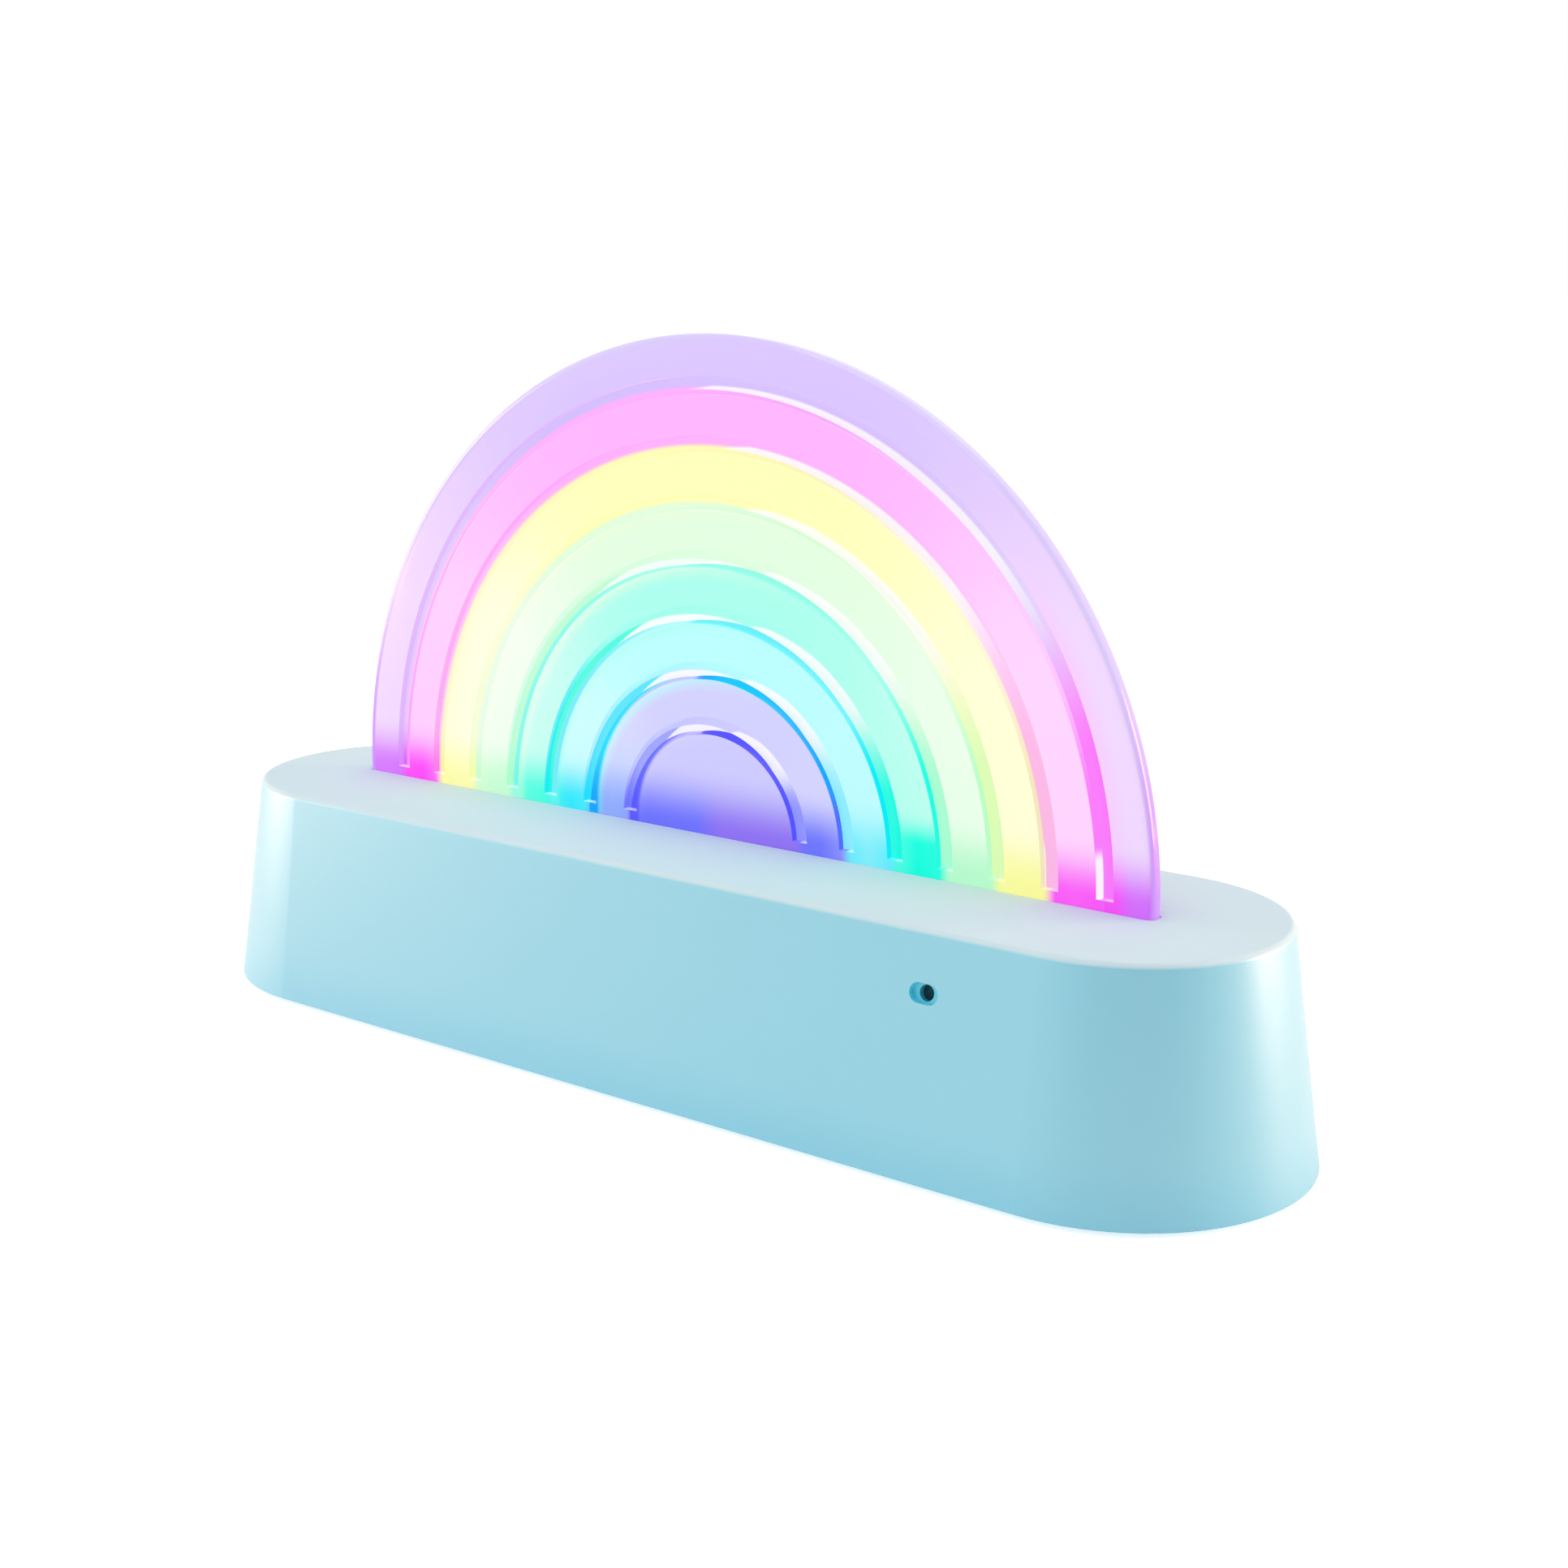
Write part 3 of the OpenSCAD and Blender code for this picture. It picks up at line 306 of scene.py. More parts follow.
litFinish = {
    "glow": 0.58,  # share of the colour that the LEDs bring, the rest comes from the room's light
    "matt": 0.44,
    "roughFront": 0.09, "roughBack": 0.5,
    "steps": {"here": 0.0, "inside": -3.1, "outside": 3.1, "beyond": 5.0},  # mm to the band whose light is read
    "soften": 1.1,  # half of a colour's crossing between two bands
    "bandEdge": 0.6,  # what a band loses of its width at either side
    "domeLeft": "#7074ff",
    "secondLeft": "#9ccaff", "secondFoot": "#566cfa",  # the second band's left flank, and the foot of its wall
    "lavenderFlank": "#fae0ff", "lavenderPaler": 0.3,
    "rimFoot": "#cc94fa", "rimTop": "#d2c6f6",
    # each groove's right foot: share of the inner band's light in it, and how pale it is
    "grooveFeet": ((0, 0.35), (0, 0.65), (0.1, 0), (0.2, 0.2), (0.5, 0.1), (0.25, 0.7), (1, 0.35)),
    # edges of light over a groove's floor, broadSide and broadOut bounding the painted white highlight on its outer
    # side: at these degrees up from the right foot, this far across it
    "edges": {
        "deepOut": (45, -1.75, 78, -0.81),
        "stripSlant": (78, -0.81, 98, -1.37),
        "stripIn": (98, -1.37, 124, -0.27),
        "wedgeOut": (124, -0.28, 178, 1.08),
        "stripOut": (78, -0.81, 112, 0.62),
        "stripFoot": (112, 0.62, 124, -0.27),
        "broadSide": (60, 0.75, 73, 0.20),
        "broadOut": (73, 0.20, 79, -0.90),
        "wedgeIn": (112, -1.90, 178, -3.00),
        "outerCross": (80, -0.35, 178, 1.60),
        "wallTop": (140, 1.60, 178, 0.25),
    },
    "endless": ("wedgeIn", "wallTop"),  # of these, the ones that run on level past their ends
    # painted highlight: broadFar is the outer edge of the broad white over the arch
    "broadFar": (58, 90, 0.90, -0.15),  # the broad white's outer edge: between these radii, this far across
    "lag": 0.42,  # degrees per mm by which the outer grooves' edges come later, from lagFrom on
    "lagFrom": 54,
    # Soft steps of light: what each is read from, where it starts and ends, and what it gives there if not 0 and 1.
    # In mm, x and z start from the middle of the plate's foot, radius from the grooves' centre, and across from the
    # middle of the nearest groove. height is z over radius, turn is in degrees up from the right foot, lagged is
    # turn less the lag, and an edge's name stands for the mm beyond that edge.
    "soft": {
        "left": ("x", 4, -4),
        "inner": ("radius", 70, 52),
        "outermost": ("radius", 88, 92),
        # the faces are deep by the LEDs, and paler on the flanks than over the top
        "foot": ("z", 13, 2), "domeFoot": ("z", 14, 1), "lateFoot": ("z", 12.5, 6),
        "flank": ("height", 0.96, 0.5),
        "paler": ("radius", 38, 75, 0.06, 0.36), "leftPaler": ("radius", 70, 82, 0.15, -0.12),
        "secondLeft": ("z", 24, 4, 0, 0.45),
        # a band's light spills over its neighbour's face
        "spill": ("across", -4.8, -1.4), "spillTurn": ("turn", 52, 116, 0, 0.7),
        "pinkSpill": ("across", 6.0, 1.8), "pinkTurn": ("turn", 45, 28),
        # a deep wedge widens towards the left foot, over the face and the groove's floor
        "wedgeFace": ("wedgeIn", 0.0, 1.0), "wedgeFloor": ("across", -1.4, -0.4), "wedgeEnd": ("stripIn", 0.12, -0.12),
        "wedgeTurn": ("lagged", 103, 112), "outerWedge": ("turn", 132, 158, 0.4, 0.85),
        "wedgeDeep": ("radius", 35, 43, 1.0, 0.4), "wedgePale": ("radius", 36, 42, 0, 0.2),
        "wedgeFoot": ("z", 1, 16, 0.05, 0.95),
        # the grooves' floors
        "fromFeet": ("turn", 38, 18),
        "overTop": ("lagged", 90, 99), "outerTop": ("lagged", 68, 78),
        "innerSide": ("stripOut", 0.2, -0.2), "outerSide": ("outerCross", 0.5, -0.5),
        "stripStart": ("stripFrom", -0.12, 0.12), "stripEdge": ("stripOut", 0.15, -0.15),
        # painted highlight: stripEnd and topRight end the thin white strip at the top, broadTurn, broadStart and
        # broadEnd place the broad white over the arch, and tickHigh sets how high the white tick reaches
        "stripTurn": ("lagged", 108, 116), "stripEnd": ("stripFoot", 0.18, -0.18),
        "broadTurn": ("turn", 29, 45), "broadStart": ("deepOut", -0.1, 0.1), "broadEnd": ("broadOut", 0.3, -0.3),
        "tickHigh": ("z", 11.5, 8.5),
        # the grooves' walls
        "deepEdge": ("deepOut", 0.08, -0.08), "deepTurn": ("lagged", 100, 96),
        "leakLow": ("z", 44, 18), "leakInner": ("radius", 62, 30), "leakTurn": ("turn", 102, 94),
        "secondLow": ("z", 16, 8), "secondHigh": ("turn", 28, 75, 0, 0.5),
        "thirdLow": ("turn", 120, 150, 0, 0.7), "outerLeak": ("radius", 70, 76, 0, 0.5),
        "rimHigh": ("z", 4, 50),
    },
    "straight": {  # the same, with straight steps
        "topRight": ("lagged", 76.5, 78.5),
        "stripShare": ("radius", 22, 32, 0.5, 0.8),
        "wedgeInner": ("radius", 41, 36, 0.1, 1),
    },
    "ledInward": 0.5,  # the LEDs' strengths are read this much further in than their bands' middles
    "lastOne": 84, "lastTwo": 72,  # radii beyond which only the last groove lies, or the last two
    "nearGroove": 4,
    "spillFoot": (0.3, 0.8),  # the pink's spill, over and by its LED
    # painted highlights: how strong the white is, how far the white tick at the last two right feet reaches, and how
    # high the white along the grooves' square ends runs
    "paintedShine": 0.93,
    "tick": (-1.45, -0.95), "tickSoft": 0.25,  # how far across the white tick at the last two right feet reaches
    "ledge": 0.06, "ledgeShares": (0.1, 0.5),  # the grooves' square ends, right and left
    # mm: how a groove's own light begins below its lip, and how its floor is told from its walls
    "lipSoft": (0.03, 0.14), "floorAbove": 0.08, "floorBelow": 0.1, "rimClear": 0.5,
    # the back, where the grooves are painted on as if seen through the clear plate: how strongly they show, their pale
    # bands a painted highlight, and their edges
    "backPale": 0.4, "backLine": 0.5,
    "backSkin": (0.2, 0.02), "backSoft": (0.15, -0.35), "backLineSoft": (0.45, 0.05), "backEnd": 0.1,
    "rimSkin": (0.9, 0.2), "rimLeft": 1.3,  # the rim's band of light, and how much wider it is on the left
}


def makeLitAcrylic(s, light, f):
    # Cast acrylic, polished in front: sharp gloss. Its back is satin, to spread the LEDs' light. The shader lets no
    # light through: the acrylic's clear depth is painted, with white painted highlights in the grooves and the grooves
    # painted on the back.
    material, tree, shader = newMaterial("litAcrylic", IOR=1.49, Specular_IOR_Level=0.25,
                                         Emission_Strength=f["glow"])
    smooth, times = {"interpolation_type": "SMOOTHSTEP"}, {"operation": "MULTIPLY"}
    colours, white = {"data_type": "RGBA"}, "#ffffff"
    front, back = -s["thick"] / 2, s["thick"] / 2
    floorY = front + s["grooveDeep"]
    grooves = [s["grooveFirst"] + i * s["groovePitch"] for i in range(s["grooveCount"])]
    first = s["grooveFirst"] - s["groovePitch"] / 2
    middles = {name: first + i * s["groovePitch"] for i, name in enumerate(light)}

    place = addNode(tree, "TexCoord").node.outputs["Object"]
    place = addNode(tree, "Mapping", {"Vector": place, "Location": (0, 0, -s["topLevel"]), "Scale": (1 / mm,) * 3})
    x, y, z = addNode(tree, "SeparateXYZ", [place]).node.outputs
    aside = addNode(tree, "Math", [x, s["grooveSide"]], operation="SUBTRACT")
    above = addNode(tree, "Math", [z, s["grooveRise"]], operation="SUBTRACT")
    fromCentre = addNode(tree, "CombineXYZ", [aside, 0, above])
    radius = addNode(tree, "VectorMath", [fromCentre], operation="LENGTH")
    fromRim = addNode(tree, "CombineXYZ", [x, 0, z])
    edge = addNode(tree, "VectorMath", [fromRim], operation="LENGTH")
    height = addNode(tree, "Math", [z, radius], operation="DIVIDE")
    turn = addNode(tree, "Math", [z, x], operation="ARCTAN2")
    turn = addNode(tree, "Math", [turn, 180 / math.pi], **times)
    lag = addNode(tree, "Math", [radius, f["lagFrom"]], operation="SUBTRACT")
    lag = addNode(tree, "Math", [lag, 0], operation="MAXIMUM")
    lag = addNode(tree, "Math", [lag, f["lag"]], **times)
    lagged = addNode(tree, "Math", [turn, lag], operation="SUBTRACT")
    across = addNode(tree, "Math", [radius, first + s["groovePitch"], first], operation="WRAP")
    across = addNode(tree, "Math", [across, s["grooveFirst"]], operation="SUBTRACT")

    # The edges of light, then every soft and straight step
    lines = {"broadFar": addNode(tree, "MapRange", [radius, *f["broadFar"]], clamp=False)}
    for name, (turnA, acrossA, turnB, acrossB) in f["edges"].items():
        lines[name] = addNode(tree, "MapRange", [lagged, turnA, turnB, acrossA, acrossB], clamp=name in f["endless"])
    for name, other in (("broadOut", "broadSide"), ("broadOut", "broadFar"),
                        ("stripIn", "wedgeOut"), ("deepOut", "stripSlant")):
        lines[name] = addNode(tree, "Math", [lines[name], lines[other]], operation="MINIMUM")
    lines["stripFrom"] = addNode(tree, "Math", [lines["stripIn"], lines["stripSlant"]], operation="MAXIMUM")
    read = {"x": x, "z": z, "radius": radius, "height": height, "turn": turn, "lagged": lagged, "across": across}
    step = {}
    for table, kind in (("soft", smooth), ("straight", {})):
        for name, (source, *limits) in f[table].items():
            if source not in read:
                read[source] = addNode(tree, "Math", [across, lines[source]], operation="SUBTRACT")
            step[name] = addNode(tree, "MapRange", [read[source], *limits], **kind)
    left, foot = step["left"], step["foot"]
    right = addNode(tree, "Math", [1, left], operation="SUBTRACT")

    # On which face of the nearest groove the point lies
    inGroove = addNode(tree, "MapRange", [y] + [front + deep for deep in f["lipSoft"]], **smooth)
    for value, limit, way in ((y, floorY + f["floorBelow"], "LESS_THAN"), (radius, first, "GREATER_THAN"),
                              (edge, s["radius"] - s["rimRound"] - f["rimClear"], "LESS_THAN")):
        test = addNode(tree, "Math", [value, limit], operation=way)
        inGroove = addNode(tree, "Math", [inGroove, test], **times)
    onFloor = addNode(tree, "Math", [y, floorY - f["floorAbove"]], operation="GREATER_THAN")
    outWall = addNode(tree, "Math", [across, 0.0], operation="GREATER_THAN")
    inside = addNode(tree, "Math", [across, 0.0], operation="LESS_THAN")
    inFront = addNode(tree, "Math", [y, 0.0], operation="LESS_THAN")
    dome = addNode(tree, "Math", [radius, s["grooveFirst"]], operation="LESS_THAN")
    pastHub = addNode(tree, "Math", [radius, first], operation="GREATER_THAN")
    lastOne = addNode(tree, "Math", [radius, f["lastOne"]], operation="GREATER_THAN")
    lastTwo = addNode(tree, "Math", [radius, f["lastTwo"]], operation="GREATER_THAN")
    inner = addNode(tree, "Math", [step["inner"], pastHub], **times)

    # The bands' light, read across the plate here and a step to either side, by the LEDs, above them and leaking
    shade = {}
    for side, move in f["steps"].items():
        at = addNode(tree, "Math", [radius, move], operation="ADD")
        at = addNode(tree, "Math", [at, s["radius"]], operation="DIVIDE")
        for state, name in enumerate(("foot", "glow", "leak")):
            codes, stops = [shades[state] for shades in light.values()], []
            for centre, innerCode, outerCode in zip(grooves, codes, codes[1:]):
                stops += [((centre - f["soften"]) / s["radius"], innerCode),
                          ((centre + f["soften"]) / s["radius"], outerCode)]
            shade[side, name] = addNode(tree, "ValToRGB", [at], stops=stops)

    # Height over the feet
    bandHalf = s["groovePitch"] / 2 - f["bandEdge"]
    inSecond = addNode(tree, "Math", [radius, middles["periwinkle"], bandHalf], operation="COMPARE")
    inTurquoise = addNode(tree, "Math", [radius, middles["turquoise"], bandHalf], operation="COMPARE")
    paler = addNode(tree, "Math", [left, step["leftPaler"], step["paler"]], operation="MULTIPLY_ADD")
    paler = addNode(tree, "Math", [step["outermost"], f["lavenderPaler"], paler], operation="MULTIPLY_ADD")
    noDome = addNode(tree, "Math", [1, dome], operation="SUBTRACT")
    flank = step["flank"]
    for factor in (paler, noDome):
        flank = addNode(tree, "Math", [flank, factor], **times)
    flankShade = addNode(tree, "Mix", [step["outermost"], white, f["lavenderFlank"]], **colours)
    foot = addNode(tree, "Mix", [dome, foot, step["domeFoot"]])
    isLate = addNode(tree, "Math", [inTurquoise, right], **times)
    foot = addNode(tree, "Mix", [isLate, foot, step["lateFoot"]])
    here = addNode(tree, "Math", [radius, s["radius"]], operation="DIVIDE")
    strengths = [((middles[name] - f["ledInward"]) / s["radius"], shades[3:] + (0, 1))
                 for name, shades in light.items()]
    strengths = addNode(tree, "ValToRGB", [here], stops=strengths)
    rightLed, leftLed = addNode(tree, "SeparateColor", [strengths]).node.outputs[:2]
    led = addNode(tree, "Mix", [left, rightLed, leftLed])
    domeLeft = addNode(tree, "Math", [left, dome], **times)
    secondLeft = step["secondLeft"]
    for factor in (left, inSecond):
        secondLeft = addNode(tree, "Math", [secondLeft, factor], **times)
    band = {}
    for side in f["steps"]:
        above = addNode(tree, "Mix", [flank, shade[side, "glow"], flankShade], **colours)
        below = addNode(tree, "Mix", [led, shade[side, "glow"], shade[side, "foot"]], **colours)
        if side == "here":
            below = addNode(tree, "Mix", [domeLeft, below, f["domeLeft"]], **colours)
        band[side] = addNode(tree, "Mix", [foot, above, below], **colours)
    band["here"] = addNode(tree, "Mix", [secondLeft, band["here"], f["secondLeft"]], **colours)

    # The face: left of the top the bands run into each other, and a deep edge widens towards the left foot
    spill = step["spill"]
    for factor in (step["spillTurn"], inside, inner, inFront):
        spill = addNode(tree, "Math", [spill, factor], **times)
    face = addNode(tree, "Mix", [spill, band["here"], band["beyond"]], **colours)
    spillShare = addNode(tree, "MapRange", [foot, 0, 1, *f["spillFoot"]])
    pinkSpill = step["pinkSpill"]
    for factor in (spillShare, step["pinkTurn"], lastOne, outWall):
        pinkSpill = addNode(tree, "Math", [pinkSpill, factor], **times)
    pinkFoot = addNode(tree, "Mix", [foot, light["pink"][1], light["pink"][0]], **colours)
    face = addNode(tree, "Mix", [pinkSpill, face, pinkFoot], **colours)
    outerWedge = addNode(tree, "Math", [step["outerWedge"], lastOne], **times)
    outerWedge = addNode(tree, "Math", [outerWedge, inner], operation="MAXIMUM")
    wedgeFoot = addNode(tree, "Math", [step["wedgeFoot"], step["wedgeInner"]], **times)
    wedgeShade = addNode(tree, "Mix", [wedgeFoot, shade["inside", "leak"], shade["beyond", "foot"]], **colours)
    wedgeShade = addNode(tree, "Mix", [step["wedgePale"], wedgeShade, white], **colours)
    wedgeFace = step["wedgeFace"]
    for factor in (step["wedgeTurn"], inside, step["wedgeDeep"], inner, inFront):
        wedgeFace = addNode(tree, "Math", [wedgeFace, factor], **times)
    face = addNode(tree, "Mix", [wedgeFace, face, wedgeShade], **colours)

    # The grooves' floors
    feet = [(centre / s["radius"], shares + (0, 1)) for centre, shares in zip(grooves, f["grooveFeet"])]
    feet = addNode(tree, "ValToRGB", [here], stops=feet)
    innerShare, footPale = addNode(tree, "SeparateColor", [feet]).node.outputs[:2]
    deepFeet = addNode(tree, "Mix", [innerShare, shade["outside", "foot"], shade["inside", "foot"]], **colours)
    paleFeet = addNode(tree, "Mix", [innerShare, shade["outside", "glow"], shade["inside", "glow"]], **colours)
    betweenFeet = addNode(tree, "Mix", [footPale, deepFeet, paleFeet], **colours)
    floor = addNode(tree, "Mix", [step["fromFeet"], band["outside"], betweenFeet], **colours)
    overTop = addNode(tree, "Mix", [inner, step["outerTop"], step["overTop"]])
    innerSide = addNode(tree, "Mix", [inner, step["outerSide"], step["innerSide"]])
    innerSide = addNode(tree, "Math", [innerSide, overTop], **times)
    floor = addNode(tree, "Mix", [innerSide, floor, band["inside"]], **colours)
    stripShare = addNode(tree, "Math", [step["stripShare"], inner], **times)
    paleStrip = addNode(tree, "Mix", [stripShare, band["outside"], shade["outside", "foot"]], **colours)
    strip = addNode(tree, "Math", [step["stripStart"], step["stripEdge"]], **times)
    pale = strip
    for factor in (step["stripTurn"], inner):
        pale = addNode(tree, "Math", [pale, factor], **times)
    floor = addNode(tree, "Mix", [pale, floor, paleStrip], **colours)
    wedge = step["wedgeFloor"]
    for factor in (step["wedgeEnd"], step["wedgeTurn"], outerWedge):
        wedge = addNode(tree, "Math", [wedge, factor], **times)
    floor = addNode(tree, "Mix", [wedge, floor, wedgeShade], **colours)

    # Painted highlights: white over the right of the arch, a thin strip at the top, and a short tick at the outermost
    # right feet
    broad = step["broadTurn"]
    for factor in (step["broadEnd"], step["broadStart"]):
        broad = addNode(tree, "Math", [broad, factor], **times)
    for factor in (step["topRight"], step["stripEnd"], inner):
        strip = addNode(tree, "Math", [strip, factor], **times)
    tickWide = addNode(tree, "MapRange", [lastOne, 0, 1, *f["tick"]])
    tick = addNode(tree, "Math", [across, tickWide], operation="SUBTRACT")
    tick = addNode(tree, "MapRange", [tick, 0.0, -f["tickSoft"]], **smooth)
    for factor in (step["tickHigh"], lastTwo, right):
        tick = addNode(tree, "Math", [tick, factor], **times)
    paintedShine = broad
    for other in (strip, tick):
        paintedShine = addNode(tree, "Math", [paintedShine, other], operation="MAXIMUM")
    paintedShine = addNode(tree, "Math", [paintedShine, f["paintedShine"]], **times)
    floor = addNode(tree, "Mix", [paintedShine, floor, white], **colours)

    # What leaks at the inner wall runs on over the floor towards the top
    reach = addNode(tree, "Math", [step["leakInner"], step["leakTurn"]], **times)
    reach = addNode(tree, "Math", [reach, step["leakLow"]], operation="MAXIMUM")
    innerWall = addNode(tree, "Mix", [reach, band["inside"], shade["inside", "leak"]], **colours)
    atSecond = addNode(tree, "Math", [radius, grooves[1], f["nearGroove"]], operation="COMPARE")
    secondLow, secondHigh = step["secondLow"], step["secondHigh"]
    for factor in (atSecond, right):
        secondLow = addNode(tree, "Math", [secondLow, factor], **times)
        secondHigh = addNode(tree, "Math", [secondHigh, factor], **times)
    innerWall = addNode(tree, "Mix", [secondHigh, innerWall, shade["outside", "foot"]], **colours)
    innerWall = addNode(tree, "Mix", [secondLow, innerWall, f["secondFoot"]], **colours)
    deep = addNode(tree, "Math", [step["deepEdge"], step["deepTurn"]], **times)
    floor = addNode(tree, "Mix", [deep, floor, innerWall], **colours)

    # The outer wall, and the painted white highlight that both walls and the square ends catch
    deepDown = addNode(tree, "Math", [y, front], operation="SUBTRACT")
    lowWall = addNode(tree, "Math", [deepDown, lines["wallTop"]], operation="GREATER_THAN")
    outerWall = addNode(tree, "Mix", [lowWall, band["outside"], paleStrip], **colours)
    atThird = addNode(tree, "Math", [radius, grooves[2], f["nearGroove"]], operation="COMPARE")
    thirdLow = addNode(tree, "Math", [step["thirdLow"], atThird], **times)
    outerWall = addNode(tree, "Mix", [thirdLow, outerWall, shade["inside", "leak"]], **colours)
    outerWall = addNode(tree, "Mix", [step["outerLeak"], outerWall, shade["outside", "leak"]], **colours)
    outerWall = addNode(tree, "Mix", [left, shade["outside", "glow"], outerWall], **colours)
    walls = addNode(tree, "Mix", [outWall, innerWall, outerWall], **colours)
    wallTick = addNode(tree, "Math", [tick, lastOne], **times)
    walls = addNode(tree, "Mix", [wallTick, walls, white], **colours)
    within = addNode(tree, "Mix", [onFloor, walls, floor], **colours)
    ledge = addNode(tree, "Math", [z, s["grooveLift"] + f["ledge"]], operation="LESS_THAN")
    ledgeShare = addNode(tree, "MapRange", [left, 0, 1, *f["ledgeShares"]])
    ledge = addNode(tree, "Math", [ledge, ledgeShare], **times)
    within = addNode(tree, "Mix", [ledge, within, white], **colours)
    lit = addNode(tree, "Mix", [inGroove, face, within], **colours)

    # From the back the grooves are painted on as if seen through the clear plate: soft pale bands, a painted highlight,
    # with a deeper line at either wall
    onBack = addNode(tree, "MapRange", [y] + [back - skin for skin in f["backSkin"]], **smooth)
    fromMiddle = addNode(tree, "Math", [across], operation="ABSOLUTE")
    through = addNode(tree, "MapRange", [fromMiddle] + [s["grooveWide"] / 2 + out for out in f["backSoft"]], **smooth)
    pastFirst = addNode(tree, "MapRange", [z, s["grooveLift"] - f["backEnd"], s["grooveLift"] + f["backEnd"]], **smooth)
    fromWall = addNode(tree, "Math", [fromMiddle, s["grooveWide"] / 2], operation="SUBTRACT")
    fromWall = addNode(tree, "Math", [fromWall], operation="ABSOLUTE")
    wallLine = addNode(tree, "MapRange", [fromWall, *f["backLineSoft"], 0, f["backLine"]], **smooth)
    through = addNode(tree, "Math", [through, f["backPale"]], **times)
    for factor in (onBack, pastFirst, pastHub):
        through = addNode(tree, "Math", [through, factor], **times)
        wallLine = addNode(tree, "Math", [wallLine, factor], **times)
    lit = addNode(tree, "Mix", [through, lit, white], **colours)
    lit = addNode(tree, "Mix", [wallLine, lit, shade["here", "leak"]], **colours)

    # The rim gathers the outer band's light
    rim = addNode(tree, "Math", [left, f["rimLeft"], edge], operation="MULTIPLY_ADD")
    rim = addNode(tree, "MapRange", [rim] + [s["radius"] - skin for skin in f["rimSkin"]], **smooth)
    rimShade = addNode(tree, "Mix", [step["rimHigh"], f["rimFoot"], f["rimTop"]], **colours)
    lit = addNode(tree, "Mix", [rim, lit, rimShade], **colours)

    room = addNode(tree, "Mix", [1.0, lit, (f["matt"],) * 3 + (1,)], blend_type="MULTIPLY", **colours)
    tree.links.new(room, shader.inputs["Base Color"])
    tree.links.new(lit, shader.inputs["Emission Color"])
    rough = addNode(tree, "MapRange", [onBack, 0, 1, f["roughFront"], f["roughBack"]])
    tree.links.new(rough, shader.inputs["Roughness"])
    return material


plate = makeRainbowPlate(plateSizes)
plate.data.materials.append(makeLitAcrylic(plateSizes, bandLight, litFinish))
print("plate made and lit")

# Pastel ABS, injection moulded in a finely etched tool: satin, with a grain that only softens the gloss.
# The top face was etched coarser than the drafted walls, so that it looks drier; its paler colour is painted light, for
# the light that falls on it from above.
shellFinish = {
    "colour": "#7fc8dc", "deep": "#7bc5da", "roughness": 0.36,
    "topLitColour": "#c0d7df", "topRoughness": 0.95, "topFrom": 44.9, "topTo": 45.7, "coat": 0.9,
    "cloud": 1000 / 18, "grain": 0.4, "grainHeight": 0.006,
    # the microphone port: its recess is painted a brighter, more saturated teal, painted light for the shell's own
    # colour gathered in it, and its hole a darker teal, painted shade
    "port": (71.3, -31.0, 34.75), "portReach": 4.2, "portLitColour": "#40d8f0", "holeShadeColour": "#3cb4d0",
    "wallFoot": -36.5, "wallLean": 6.5 / 45, "portDeep": (0.1, 0.3), "holeDeep": (1.15, 1.3),
    # painted shade: the walls deepen a little towards the bottom edge, where less light reaches them
    "lowShadeColour": "#6cbfd9", "lowFrom": 1, "lowTo": 13, "lowShare": 0.75,
}


